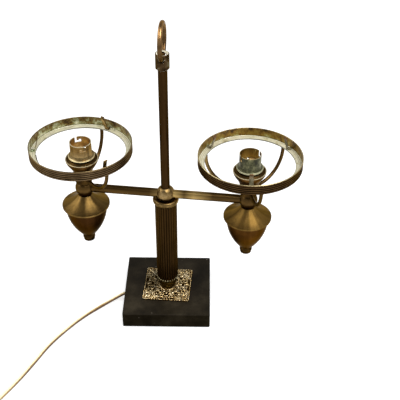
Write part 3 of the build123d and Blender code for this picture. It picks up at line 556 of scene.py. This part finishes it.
# The column is a reeded brass tube between a turned foot and a cupped capital, all clamped by the tie rod.
# A row of small points round the foot's rim closes the hollows between the reeds.
def from_axis(tree, place, x=0.0):
    """The level way out from an upright axis at x, and its length."""
    if x:
        place = put(tree, "ShaderNodeVectorMath", [place, (-x, 0, 0)], operation="ADD")
    flat = put(tree, "ShaderNodeVectorMath", [place, (1, 1, 0)], operation="MULTIPLY")
    return flat, put(tree, "ShaderNodeVectorMath", [flat], operation="LENGTH")


def ease_edges(piece, width):
    """Rounds the edges of the active piece."""
    bevel = piece.modifiers.new("edge", "BEVEL")
    bevel.width = width
    bevel.segments = 2
    bpy.ops.object.modifier_apply(modifier="edge")


def join_pieces(name, pieces):
    """One piece made of several, under a name of its own."""
    select_only(*pieces)
    bpy.ops.object.join()
    pieces[0].name = name
    return pieces[0]


# Reeded tube: dark brown, with painted shade in the hollows between the reeds, nearly black there, and the
# crests left lighter, by radius
reeded_brass, tree, shader, place, tint = patina(
    "reeded_brass", {0.34: "#281c0d", 0.5: "#372713", 0.68: "#48341b"}, 0.36, 16.0, (1.0, 1.0, 0.25)
)
_, reach = from_axis(tree, place)
crest = put(tree, "ShaderNodeMapRange", {"Value": reach, "From Min": 12.05 * MM, "From Max": 12.65 * MM})
hollow_stops = {0.0: "#3a3024", 0.55: "#b4a898", 1.0: "#ffffff"}
hollow = put(tree, "ShaderNodeValToRGB", {"Fac": crest}, ramp=hollow_stops)
hollows_darkened = put(tree, "ShaderNodeMix", {"Factor": 1.0, 6: tint, 7: hollow}, **multiply)
feed(shader, {"Base Color": hollows_darkened})
finish(reeded_brass, "column_tube")
# Tarnished brass: a dark olive brown, low down where polish seldom reached
tarnished_brass, *_ = patina(
    "tarnished_brass", {0.36: "#2c230f", 0.5: "#42361a", 0.66: "#5d4f2e"}, 0.4, 8.0
)
finish(tarnished_brass, "column_foot")
# Handled brass: satin gold with brown left in it
handled_stops = {0.34: "#4a391e", 0.5: "#755f39", 0.66: "#a78e63"}
handled_brass, *_ = patina("handled_brass", handled_stops, 0.3, 9.0)
finish(handled_brass, "column_capital", "hub_ball")

tooth_count = 27
tooth_radius = 12.75 * MM
tooth_height = 38.6 * MM
tooth_size = (0.9 * MM, 1.5 * MM, 1.3 * MM)
tip_radius = 12.45 * MM
teeth = []
for i in range(tooth_count):
    bpy.ops.mesh.primitive_cube_add(size=1.0, calc_uvs=False, location=(tooth_radius, 0, tooth_height))
    tooth = bpy.context.object
    tooth.scale = tooth_size
    bpy.ops.object.transform_apply(location=True, scale=True)
    for vertex in tooth.data.vertices:
        if vertex.co.z > tooth_height:
            vertex.co.x = tip_radius + (vertex.co.x - tooth_radius) * 0.3
            vertex.co.y *= 0.4
    ease_edges(tooth, 0.15 * MM)
    tooth.data.transform(Matrix.Rotation(radians(i * 360 / tooth_count), 4, "Z"))
    teeth.append(tooth)
rim_points = join_pieces("rim_points", teeth)
# Rubbed brass: pale gold
rubbed_brass, *_ = patina("rubbed_brass", {0.34: "#6e6244", 0.5: "#a89b74", 0.66: "#d6ccaa"}, 0.28, 5.0)
rim_points.data.materials.append(rubbed_brass)
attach(rim_points, "lamp")


# The arms and the mast are drawn brass tubes, screwed into the hub ball. They are brown along their length,
# and the right arm carries a painted reflection next to the hub: two bright gold bands.
drawn_brass, tree, shader, place, tint = patina(
    "drawn_brass", {0.3: "#382813", 0.7: "#543f20"}, 0.32, 14.0, (0.3, 1.0, 1.0)
)
along = between(tree, place, "X", -90, 90)
# Painted reflection: two bright gold bands along the right arm next to the hub
reflection_stops = {0.0: "#000000", 0.4: "#101010", 0.56: "#e0e0e0"}
reflection_stops |= {0.62: "#505050", 0.68: "#d0d0d0", 0.8: "#101010"}
painted_reflection = put(tree, "ShaderNodeValToRGB", {"Fac": along}, ramp=reflection_stops)
painted_shine = put(tree, "ShaderNodeMix", {"Factor": painted_reflection, 6: tint, 7: linear("#c6a768")}, data_type="RGBA")
feed(shader, {"Base Color": painted_shine})
finish(drawn_brass, *both("arm"))
mast_brass, *_ = patina("mast_brass", {0.3: "#251809", 0.7: "#3b2813"}, 0.34, 12.0, (1.0, 1.0, 0.12))
finish(mast_brass, "mast_tube")


# The ferrule is a turned brass cup on the mast's top, gone green, with a cross hole in each wall; its inside
# is painted pale cream and dull, a painted light falling into it. The carrying ring, bent from brass wire,
# hangs loose in the holes and stays where it is put.
ferrule_bore = 6.3 * MM
ferrule_stops = {0.34: "#1f180e", 0.46: "#382a19", 0.57: "#4d3d28", 0.68: "#74755c"}
ferrule_brass, tree, shader, place, tint = patina("verdigris_brass", ferrule_stops, 0.4, 6.0)
_, reach = from_axis(tree, place)
# Painted light inside the ferrule: its bore is painted pale cream and not metal
inside = put(tree, "ShaderNodeMath", [reach, ferrule_bore], operation="LESS_THAN")
paled = put(tree, "ShaderNodeMix", {"Factor": inside, 6: tint, 7: linear("#f2ecd6")}, data_type="RGBA")
metal = put(tree, "ShaderNodeMath", [1.0, inside], operation="SUBTRACT")
feed(shader, {"Base Color": paled, "Metallic": metal})
finish(ferrule_brass, "mast_ferrule")
# Wire brass: a painted light makes the top of the ring gold, and a painted shade makes it brown lower down
ring_brass, tree, shader, place, tint = patina("wire_brass", {0.3: "#60462a", 0.7: "#97764e"}, 0.24, 16.0)
painted_top_light = between(tree, place, "Z", 350, 362, 0.42, 1.3)
lit_ring = put(tree, "ShaderNodeVectorMath", {0: tint, "Scale": painted_top_light}, operation="SCALE")
feed(shader, {"Base Color": lit_ring})
finish(ring_brass, "carry_ring")


# Each arm ends in an urn: a conical cover and a bowl, both spun from sheet brass and lacquered, with a turned
# knob underneath that draws them up against the head ball.
head_reach = 93.5 * MM
ring_spacing = 0.7 * MM


def spun_brass(name, x, stops, roughness, sheen_contrast):
    """Lacquered spun brass about an upright axis at x: fine tool rings, and a painted sheen, sectors painted
    brighter and darker by turns.
    """
    material, tree, shader, place, tint = patina(name, stops, roughness, 30.0)
    flat, reach = from_axis(tree, place, x)
    facing = put(tree, "ShaderNodeVectorMath", [flat], operation="NORMALIZE")
    # Painted sheen: sectors round the axis painted brighter and darker in turn
    sectors = put(tree, "ShaderNodeTexNoise", {"Vector": facing, "Scale": 2.6, "Detail": 3.0})
    contrast = {"From Min": 0.38, "From Max": 0.62, "To Min": 1 - sheen_contrast, "To Max": 1 + sheen_contrast}
    painted_sheen = put(tree, "ShaderNodeMapRange", {"Value": sectors, **contrast})
    sheened = put(tree, "ShaderNodeVectorMath", {0: tint, "Scale": painted_sheen}, operation="SCALE")
    split = put(tree, "ShaderNodeSeparateXYZ", [place])
    down = put(tree, "ShaderNodeMath", [reach, split.outputs["Z"]], operation="SUBTRACT")
    rings = waves(tree, down, ring_spacing)
    bump = put(tree, "ShaderNodeBump", {"Height": rings, "Strength": 0.35, "Distance": 0.03 * MM})
    feed(shader, {"Base Color": sheened, "Normal": bump})
    return material


for side, x, cover_stops, cover_roughness, bowl_stops in (
    ("left", -head_reach, {0.3: "#54401f", 0.7: "#7c6236"}, 0.3, {0.3: "#2b190a", 0.7: "#412812"}),
    # The right bowl's colours are lighter and warmer than the left's: a painted glow of light on it
    ("right", head_reach, {0.3: "#55401d", 0.7: "#826533"}, 0.4, {0.3: "#321d0a", 0.7: "#5a3a18"}),
):
    cover = spun_brass(f"spun_brass_{side}_cover", x, cover_stops, cover_roughness, 0.3)
    bowl = spun_brass(f"spun_brass_{side}_bowl", x, bowl_stops, 0.38, 0.15)
    finish(cover, f"{side}_font_cover")
    finish(bowl, f"{side}_font_bowl")
finish(brown_brass, *both("font_knob"))


# On each urn stands the head ball, with the hub and three bent rods that carry the gallery ring. They are
# brass gone brown, and the threaded nipple holds hub and ball together.
finish(drawn_brass, *both("prongs"), *both("head_ball"))
finish(brown_brass, *both("prong_hub"))


# The gallery ring is rolled brass strip with reeds round its outside and a ledge inside for a glass shade.
# The outside is brown, the inside pale and green where the shade kept the polish off.
reed_count = 3
reed_foot = 211.0
reed_pitch = 2.3
ledge_under = 209.0
ledge_line = 210.3
gallery_edge = 220.0
wall_limit = 56.15
roll_spacing = 1.9 * MM


def gallery_brass(name, x, outer_stops, edge_code, wall_stops):
    """Rolled strip about an upright axis at x: brown reeds with painted shade in their grooves, a scuffed
    pale top edge, a mottled wall with painted shade at its foot, a cream ledge.
    """
    material, tree, shader, place, tint = patina(name, outer_stops, 0.34, 14.0)
    _, reach = from_axis(tree, place, x)
    height = put(tree, "ShaderNodeSeparateXYZ", [place]).outputs["Z"]
    reed = put(tree, "ShaderNodeMath", [height, reed_foot * MM], operation="SUBTRACT")
    reed = put(tree, "ShaderNodeMath", [reed, reed_pitch / 2 * MM], operation="PINGPONG")
    reed = put(tree, "ShaderNodeMapRange", {"Value": reed, "From Max": reed_pitch / 2 * MM})
    # Painted shade in the grooves between the reeds, nearly black at their bottoms
    groove_stops = {0.1: "#1c150d", 0.5: "#948974", 0.75: "#ffffff"}
    groove = put(tree, "ShaderNodeValToRGB", {"Fac": reed}, ramp=groove_stops)
    reeds = put(tree, "ShaderNodeMix", {"Factor": 1.0, 6: tint, 7: groove}, **multiply)
    edge = put(tree, "ShaderNodeMath", [height, gallery_edge * MM], operation="GREATER_THAN")
    reeds = put(tree, "ShaderNodeMix", {"Factor": edge, 6: reeds, 7: linear(edge_code)}, data_type="RGBA")
    blotches = {"Scale": 1 / (9 * MM), "Detail": 6.0, "Roughness": 0.7}
    bloom = put(tree, "ShaderNodeTexNoise", {"Vector": place, **blotches})
    upper = between(tree, place, "Z", 210.2, 220.2, -0.1, 0.06)
    back = between(tree, place, "Y", -56, 56, -0.05, 0.05)
    tarnish = put(tree, "ShaderNodeMath", [bloom, upper], operation="ADD")
    tarnish = put(tree, "ShaderNodeMath", [tarnish, back], operation="ADD")
    wall = put(tree, "ShaderNodeValToRGB", {"Fac": tarnish}, ramp=wall_stops)
    # Painted shade darkens the wall towards the ledge, in the corner between them
    corner = between(tree, place, "Z", ledge_line, 212.2, 0.3, 1.0)
    wall = put(tree, "ShaderNodeVectorMath", {0: wall, "Scale": corner}, operation="SCALE")
    cream_stops = {0.3: "#b3aa80", 0.45: "#ddd8b8", 0.7: "#f3efd8"}
    pale = put(tree, "ShaderNodeValToRGB", {"Fac": bloom}, ramp=cream_stops)
    rolled = waves(tree, reach, roll_spacing)
    troughs = {"From Min": -1.0, "From Max": -0.4, "To Min": 0.55}
    rolled = put(tree, "ShaderNodeMapRange", {"Value": rolled, **troughs})
    rim = {"From Min": 49.5 * MM, "From Max": 50.2 * MM, "To Min": 0.3}
    lip = put(tree, "ShaderNodeMapRange", {"Value": reach, **rim})
    rolled = put(tree, "ShaderNodeMath", [rolled, lip], operation="MULTIPLY")
    pale = put(tree, "ShaderNodeVectorMath", {0: pale, "Scale": rolled}, operation="SCALE")
    low = put(tree, "ShaderNodeMath", [height, ledge_line * MM], operation="LESS_THAN")
    inner = put(tree, "ShaderNodeMix", {"Factor": low, 6: wall, 7: pale}, data_type="RGBA")
    inside = put(tree, "ShaderNodeMath", [reach, wall_limit * MM], operation="LESS_THAN")
    above = put(tree, "ShaderNodeMath", [height, ledge_under * MM], operation="GREATER_THAN")
    masked = put(tree, "ShaderNodeMath", [inside, above], operation="MULTIPLY")
    colour = put(tree, "ShaderNodeMix", {"Factor": masked, 6: reeds, 7: inner}, data_type="RGBA")
    metal = put(tree, "ShaderNodeMapRange", {"Value": masked, "To Min": 1.0, "To Max": 0.35})
    feed(shader, {"Base Color": colour, "Metallic": metal})
    return material


green_wall = {0.32: "#e4e2cc", 0.42: "#b4b48f", 0.48: "#87875f", 0.54: "#75602f", 0.66: "#3d2b11"}
gold_wall = {0.3: "#cfcaa6", 0.39: "#98915e", 0.45: "#86702f", 0.56: "#77591f", 0.68: "#3a2810"}
gallery_outline = [(49.4, 208.96), (49.6, 208.77), (56.8, 208.77), (57.0, 208.96), (57.0, 210.6)]
for i in range(reed_count):
    for radius, share in ((56.3, 0), (56.8, 0.22), (57.0, 0.5), (56.8, 0.78)):
        gallery_outline.append((radius, reed_foot + i * reed_pitch + share * reed_pitch))
gallery_outline += [(56.3, reed_foot + reed_count * reed_pitch), (57.0, 218.3), (57.0, 220.06)]
gallery_outline += [(56.8, 220.26), (56.2, 220.26), (56.0, 220.06), (56.0, 210.3)]
gallery_outline += [(55.86, 210.16), (49.6, 210.16), (49.4, 209.96)]
for side, x, outer_stops, edge_code, wall_stops in (
    ("left", -head_reach, {0.3: "#4b3b27", 0.7: "#7e694d"}, "#7c6a49", green_wall),
    ("right", head_reach, {0.3: "#322417", 0.7: "#5a4429"}, "#c2b184", gold_wall),
):
    gallery = turn_up(f"{side}_reeded_gallery", gallery_outline, 160, x)
    rolled_strip = gallery_brass(f"gallery_brass_{side}", x, outer_stops, edge_code, wall_stops)
    gallery.data.materials.append(rolled_strip)
    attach(gallery, "lamp")
    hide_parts(f"{side}_gallery_ring")


# Three spring clips on each ledge hold the shade: brass strip bent up from a riveted foot, with a hooked end.
# The left ones are still brown brass, but for one green foot. The right ones have corroded to grey and green,
# with a rusty tip.
brown_strip, tree, shader, place, tint = patina(
    "brown_strip", {0.34: "#3a2a14", 0.5: "#64502c", 0.66: "#a38a58"}, 0.36, 6.0
)
split = put(tree, "ShaderNodeSeparateXYZ", [place])
outer = put(tree, "ShaderNodeMath", [split.outputs["X"], -138 * MM], operation="LESS_THAN")
foot = between(tree, place, "Z", 214, 217, 1.0, 0.0)
paled = put(tree, "ShaderNodeMath", [outer, foot], operation="MULTIPLY")
greened = put(tree, "ShaderNodeMix", {"Factor": paled, 6: tint, 7: linear("#a9b193")}, data_type="RGBA")
feed(shader, {"Base Color": greened})
corroded_stops = {0.34: "#3f3724", 0.46: "#6a6248", 0.56: "#98927a", 0.68: "#6b5230"}
corroded_strip, tree, shader, place, tint = patina("corroded_strip", corroded_stops, 0.46, 6.0)
tip = between(tree, place, "Z", 221, 228)
rusty = put(tree, "ShaderNodeMix", {"Factor": tip, 6: tint, 7: linear("#6b4626")}, data_type="RGBA")
feed(shader, {"Base Color": rusty, "Metallic": 0.6})

clip_width = 4.4
clip_wall = 0.85
shank_radius = 50.5
shank_foot = 211.7
rivet_place = Matrix.Translation((53.5 * MM, 0, 211.04 * MM))
rivet_outline = [(0, 0), (1.6, 0), (1.52, 0.45), (1.2, 0.85), (0.7, 1.12), (0, 1.2)]
# Each clip: its direction from the ring's middle, and how far it leans inwards and aside, in degrees
for side, x, clip_metal, clips in (
    ("left", -head_reach, brown_strip, ((68.0, 10, 12), (188.0, 17, 0), (313.0, -14, 0))),
    ("right", head_reach, corroded_strip, ((39.0, 17, 0), (152.0, 17, 0), (275.0, 17, 0))),
):
    pieces = []
    for azimuth, lean, side_lean in clips:
        inwards = sin(radians(lean))
        sideways = sin(radians(side_lean))
        line = [(55.2, 210.62), (53.4, 210.62), (51.4, 210.64), (50.66, 210.9), (shank_radius, shank_foot)]
        line += [(shank_radius - rise * inwards, shank_foot + rise * 0.95) for rise in (3.0, 6.5, 10.0, 13.0)]
        line.append((shank_radius - 15.0 * inwards + 0.35, 226.0))
        line.append((shank_radius - 16.2 * inwards + 1.2, 227.6))
        ends = [(line[0][0] * MM, edge * clip_width / 2 * MM, line[0][1] * MM) for edge in (-1, 1)]
        strip = start_mesh("clip_strip", ends, [(0, 1)])
        edit_all()
        for (r0, z0), (r1, z1) in zip(line, line[1:]):
            step = ((r1 - r0) * MM, (z1 - z0) * sideways * MM, (z1 - z0) * MM)
            bpy.ops.mesh.extrude_region_move(TRANSFORM_OT_translate={"value": step})
        face_outwards()
        wall = strip.modifiers.new("wall", "SOLIDIFY")
        wall.thickness = clip_wall * MM
        wall.offset = 0.0
        bpy.ops.object.modifier_apply(modifier="wall")
        ease_edges(strip, 0.15 * MM)
        bpy.ops.object.shade_smooth_by_angle(angle=radians(50))
        rivet = turn_up("clip_rivet", rivet_outline, 20)
        rivet.data.transform(rivet_place)
        for piece in (strip, rivet):
            turn = Matrix.Rotation(radians(azimuth), 4, "Z")
            piece.data.transform(Matrix.Translation((x, 0, 0)) @ turn)
            pieces.append(piece)
    shade_clips = join_pieces(f"{side}_shade_clips", pieces)
    shade_clips.data.materials.append(clip_metal)
    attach(shade_clips, "lamp")
    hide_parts(f"{side}_gallery_clips")


# In the middle of each gallery a spun brass cup hides the lampholder's base. A ring nut on the threaded
# nipple holds it down on the prong hub. A painted highlight runs along its lip as a pale line.
cup_brass, tree, shader, place, tint = patina(
    "spun_cup_brass", {0.34: "#2b1c0c", 0.5: "#4a3217", 0.68: "#684a24"}, 0.36, 8.0
)
# Painted highlight: a pale line along the cup's lip
lip = between(tree, place, "Z", 199.9, 200.4)
lip_highlight = put(tree, "ShaderNodeMix", {"Factor": lip, 6: tint, 7: linear("#e2d2aa")}, data_type="RGBA")
feed(shader, {"Base Color": lip_highlight})
finish(cup_brass, *both("socket_cup"))


# A shoulder spun from thin sheet brass closes the mouth of each cup. It lies under the lampholder's flange
# and slopes down to the cup's lip.
skirt_outline = [(12.3, 202.4), (14.4, 201.8), (17.2, 200.5), (17.2, 200.1), (14.4, 201.3), (12.3, 201.9)]
for side, x in (("left", -head_reach), ("right", head_reach)):
    skirt = turn_up(f"{side}_cup_skirt", skirt_outline, 48, x)
    skirt.data.materials.append(drawn_brass)
    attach(skirt, "lamp")


# The lampholders are bayonet holders: a brass base and a thin brass barrel with two J slots, round a block of
# porcelain with two sprung contacts. The left barrel is still gold, the right one has gone green.
barrel_bore = 11.6
barrel_rim = 221.75


def barrel_brass(name, x, outer_stops, inner_code, rim_shine_code, flange_code, fade, metallic):
    """Thin drawn brass about an upright axis at x: another colour inside, a pale rim that is partly a painted
    highlight, and a pale flange.
    """
    material, tree, shader, place, tint = patina(name, outer_stops, 0.3, 6.0)
    height = put(tree, "ShaderNodeSeparateXYZ", [place]).outputs["Z"]
    low = between(tree, place, "Z", 207, 216, fade, 0.0)
    faded = put(tree, "ShaderNodeMix", {"Factor": low, 6: tint, 7: linear(flange_code)}, data_type="RGBA")
    _, reach = from_axis(tree, place, x)
    inside = put(tree, "ShaderNodeMath", [reach, barrel_bore * MM], operation="LESS_THAN")
    lined = put(tree, "ShaderNodeMix", {"Factor": inside, 6: faded, 7: linear(inner_code)}, data_type="RGBA")
    flange = put(tree, "ShaderNodeMapRange", {"Value": reach, "From Min": 13.6 * MM, "From Max": 14.4 * MM})
    pale = put(tree, "ShaderNodeMix", {"Factor": flange, 6: lined, 7: linear(flange_code)}, data_type="RGBA")
    # The rim is partly rubbed brass and partly a painted highlight along its top edge
    rim = put(tree, "ShaderNodeMath", [height, barrel_rim * MM], operation="GREATER_THAN")
    painted_shine = put(tree, "ShaderNodeMix", {"Factor": rim, 6: pale, 7: linear(rim_shine_code)}, data_type="RGBA")
    metal = put(tree, "ShaderNodeMapRange", {"Value": inside, "To Min": metallic, "To Max": 1.0})
    feed(shader, {"Base Color": painted_shine, "Metallic": metal})
    return material


gold_barrel = barrel_brass(
    "drawn_brass_barrel",
    -head_reach,
    {0.3: "#533e1e", 0.7: "#86693a"},
    inner_code="#d0b680",
    rim_shine_code="#f3e7c2",
    flange_code="#e2cf9f",
    fade=0.16,
    metallic=1.0,
)
green_barrel = barrel_brass(
    "verdigris_barrel",
    head_reach,
    {0.34: "#1f2115", 0.5: "#40412b", 0.66: "#7d7b59"},
    inner_code="#9c8850",
    rim_shine_code="#a8966a",
    flange_code="#a6a484",
    fade=0.04,
    metallic=0.45,
)
finish(gold_barrel, "left_holder_barrel")
finish(green_barrel, "right_holder_barrel")
finish(brown_brass, *both("holder_base"))
# Nickel-plated contacts, polished by the bulb's cap, and springs of bright wire
contact_nickel, *_ = patina(
    "nickel_plated_brass", {0.34: "#8c8a84", 0.5: "#b5b2aa", 0.66: "#d2d0c8"}, 0.26, 2.0, edge="#e4e2dc"
)
finish(contact_nickel, *both("plunger_a"), *both("plunger_b"))
# Glazed porcelain, stained brown by heat
porcelain, _, shader, *_ = mottled(
    "glazed_porcelain", 5, 4.0, {0.34: "#5f4726", 0.5: "#947545", 0.68: "#c8b083"}, 0.3
)
feed(shader, {"IOR": 1.55})
finish(porcelain, *both("holder_insulator"))

# Each contact stands on an open coil spring, which a bulb's cap squeezes.
spring_wire = 0.5 * MM
spring_radius = 2.05 * MM
spring_turns = 4
points_per_turn = 24
for side in ("left", "right"):
    for letter in "ab":
        low, high = (Vector(corner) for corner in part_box(f"{side}_spring_{letter}"))
        middle = (low + high) / 2
        spring_line = bpy.data.curves.new("spring_line", "CURVE")
        spring_line.dimensions = "3D"
        spring_line.bevel_depth = spring_wire / 2
        spring_line.bevel_resolution = 2
        spring_line.use_fill_caps = True
        spline = spring_line.splines.new("POLY")
        spline.points.add(spring_turns * points_per_turn)
        rise = (high.z - low.z - spring_wire) / (len(spline.points) - 1)
        for k, point in enumerate(spline.points):
            angle = 2 * pi * k / points_per_turn
            x, y = middle.x + spring_radius * cos(angle), middle.y + spring_radius * sin(angle)
            point.co = (x, y, low.z + spring_wire / 2 + k * rise, 1.0)
        select_only(add_object(f"{side}_contact_spring_{letter}", spring_line))
        bpy.ops.object.convert(target="MESH")
        spring = bpy.context.object
        bpy.ops.object.shade_smooth()
        spring.data.materials.append(contact_nickel)
        foot, top = (middle.x, middle.y, low.z), (middle.x, middle.y, high.z)
        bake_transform(spring)
        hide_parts(f"{side}_spring_{letter}")


# The put-away length of flex is tied by a plastic band and ends in a flat two-pin plug, moulded in two halves
# and screwed together, with a ribbed sleeve that keeps the flex from kinking.
finish(lead_pvc, "coil_tie")
# Black phenolic, moulded: a low gloss, slightly greyed by handling, with a seam between the halves
seam_height = 6.85 * MM
plug_phenolic, tree, shader, place, _ = mottled(
    "black_phenolic", 7, 4.0, {0.3: "#131211", 0.7: "#2a2826"}, 0.36
)
grit = put(tree, "ShaderNodeTexNoise", {"Vector": place, "Scale": 1 / (0.5 * MM), "Detail": 2.0})
split = put(tree, "ShaderNodeSeparateXYZ", [place])
seam = put(tree, "ShaderNodeMath", [split.outputs["Z"], seam_height], operation="SUBTRACT")
seam = put(tree, "ShaderNodeMath", [seam], operation="ABSOLUTE")
seam = put(tree, "ShaderNodeMapRange", {"Value": seam, "From Min": 0.1 * MM, "From Max": 0.4 * MM})
mould = put(tree, "ShaderNodeMath", [grit, 0.15], operation="MULTIPLY")
mould = put(tree, "ShaderNodeMath", [mould, seam], operation="ADD")
bump = put(tree, "ShaderNodeBump", {"Height": mould, "Strength": 0.5, "Distance": 0.3 * MM})
feed(shader, {"IOR": 1.6, "Normal": bump})
finish(plug_phenolic, "plug_body")
finish(contact_nickel, "plug_pins")

sleeve_length = 24 * MM
sleeve_root = 4.3
sleeve_taper = 1.4
sleeve_rib = 0.35
sleeve_sides = 20
sleeve_path = [flex_path[-1]]
for point in reversed(flex_path[:-1]):
    if sum((a - b).length for a, b in zip(sleeve_path, sleeve_path[1:])) < sleeve_length:
        sleeve_path.append(point)
sleeve_turns = [2 * pi * k / sleeve_sides for k in range(sleeve_sides)]
sleeve_rings = []
for i, (point, aside, above) in enumerate(frames_along(sleeve_path)):
    share = i / (len(sleeve_path) - 1)
    radius = (sleeve_root - sleeve_taper * share + sleeve_rib * (i % 2)) * MM
    sleeve_rings.append([point + (aside * cos(turn) + above * sin(turn)) * radius for turn in sleeve_turns])
sleeve = skin("plug_sleeve", sleeve_rings)
bpy.ops.object.shade_smooth_by_angle(angle=radians(35))
sleeve.data.materials.append(lead_pvc)
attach(sleeve, "lamp")

# The screw's head is two halves with the slot between them
screw_radius = 2.9 * MM
screw_depth = 1.6 * MM
half_slot = 0.4 * MM
slot_turn = 25
screw_place = Matrix.Translation((21 * MM, 0, 13.3 * MM))
plug_turn = Matrix.Translation((spot.x * MM, spot.y * MM, 0)) @ Matrix.Rotation(radians(heading), 4, "Z")
halves = []
for turn in (0, 180):
    bpy.ops.mesh.primitive_cylinder_add(vertices=32, radius=screw_radius, depth=screw_depth)
    half = bpy.context.object
    edit_all()
    bpy.ops.mesh.bisect(plane_co=(0, half_slot, 0), plane_no=(0, -1, 0), use_fill=True, clear_outer=True)
    bpy.ops.object.mode_set(mode="OBJECT")
    ease_edges(half, 0.25 * MM)
    half.data.transform(Matrix.Rotation(radians(turn + slot_turn), 4, "Z"))
    halves.append(half)
plug_screw = join_pieces("plug_screw", halves)
plug_screw.data.transform(plug_turn @ screw_place)
bpy.ops.object.shade_smooth_by_angle(angle=radians(40))
plug_screw.data.materials.append(zinc_steel)
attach(plug_screw, "lamp")


# A white table top under soft studio light: a large lamp above the front right, a weaker one on the left, and
# a white surround that darkens overhead.
def seen_rays(tree):
    """Light Path, and 1 for the rays that the camera sends out or sees in metal and glass."""
    ray = put(tree, "ShaderNodeLightPath")
    direct = [ray.outputs["Is Camera Ray"], ray.outputs["Is Glossy Ray"]]
    seen = put(tree, "ShaderNodeMath", direct, operation="MAXIMUM")
    passed = [seen, ray.outputs["Is Transmission Ray"]]
    return ray, put(tree, "ShaderNodeMath", passed, operation="MAXIMUM")


floor_size = 8.0
floor_level = -0.0002
table_glow = 0.62
bpy.ops.mesh.primitive_plane_add(size=floor_size, location=(0, 0, floor_level))
floor = bpy.context.object
floor.name = "floor"
bpy.ops.object.transform_apply(location=True)
white_table, tree, shader, place = new_material("white_table")
ray, seen = seen_rays(tree)
glow = put(tree, "ShaderNodeMath", [seen, table_glow], operation="MULTIPLY")
away = put(tree, "ShaderNodeVectorMath", [place], operation="LENGTH")
away = put(tree, "ShaderNodeMapRange", {"Value": away, "From Min": 0.6, "From Max": 2.0, "To Max": 0.4})
far = put(tree, "ShaderNodeMath", [away, ray.outputs["Is Camera Ray"]], operation="MULTIPLY")
glow = put(tree, "ShaderNodeMath", [glow, far], operation="ADD")
feed(shader, {"Base Color": linear("#c8c8c8"), "Roughness": 1.0, "Specular IOR Level": 0.0})
feed(shader, {"Emission Color": (1, 1, 1, 1), "Emission Strength": glow})
floor.data.materials.append(white_table)

world = bpy.data.worlds.new("surround")
bpy.context.scene.world = world
world.use_nodes = True
tree = world.node_tree
_, seen = seen_rays(tree)
wall = put(tree, "ShaderNodeMapRange", {"Value": seen, "To Min": 0.3, "To Max": 1.0})
sky = put(tree, "ShaderNodeTexCoord")
sky = put(tree, "ShaderNodeSeparateXYZ", {"Vector": sky.outputs["Generated"]})
overhead = {"From Min": 0.35, "From Max": 0.6, "To Min": wall, "To Max": 0.3}
level = put(tree, "ShaderNodeMapRange", {"Value": sky.outputs["Z"], **overhead})
feed(tree.nodes["Background"], {"Color": (1, 1, 1, 1), "Strength": level})

lamp_aim = Vector((0, 0, 0.15))
for name, stand, size, power in (
    ("key_lamp", (0.6, -0.35, 1.35), 1.0, 24.0),
    ("fill_lamp", (-0.95, -0.05, 0.95), 0.9, 9.0),
):
    lamp_data = bpy.data.lights.new(name, "AREA")
    lamp_data.shape = "SQUARE"
    lamp_data.size = size
    lamp_data.energy = power
    lamp = add_object(name, lamp_data)
    aim = lamp_aim - Vector(stand)
    lamp.matrix_world = Matrix.Translation(stand) @ aim.to_track_quat("-Z", "Y").to_matrix().to_4x4()
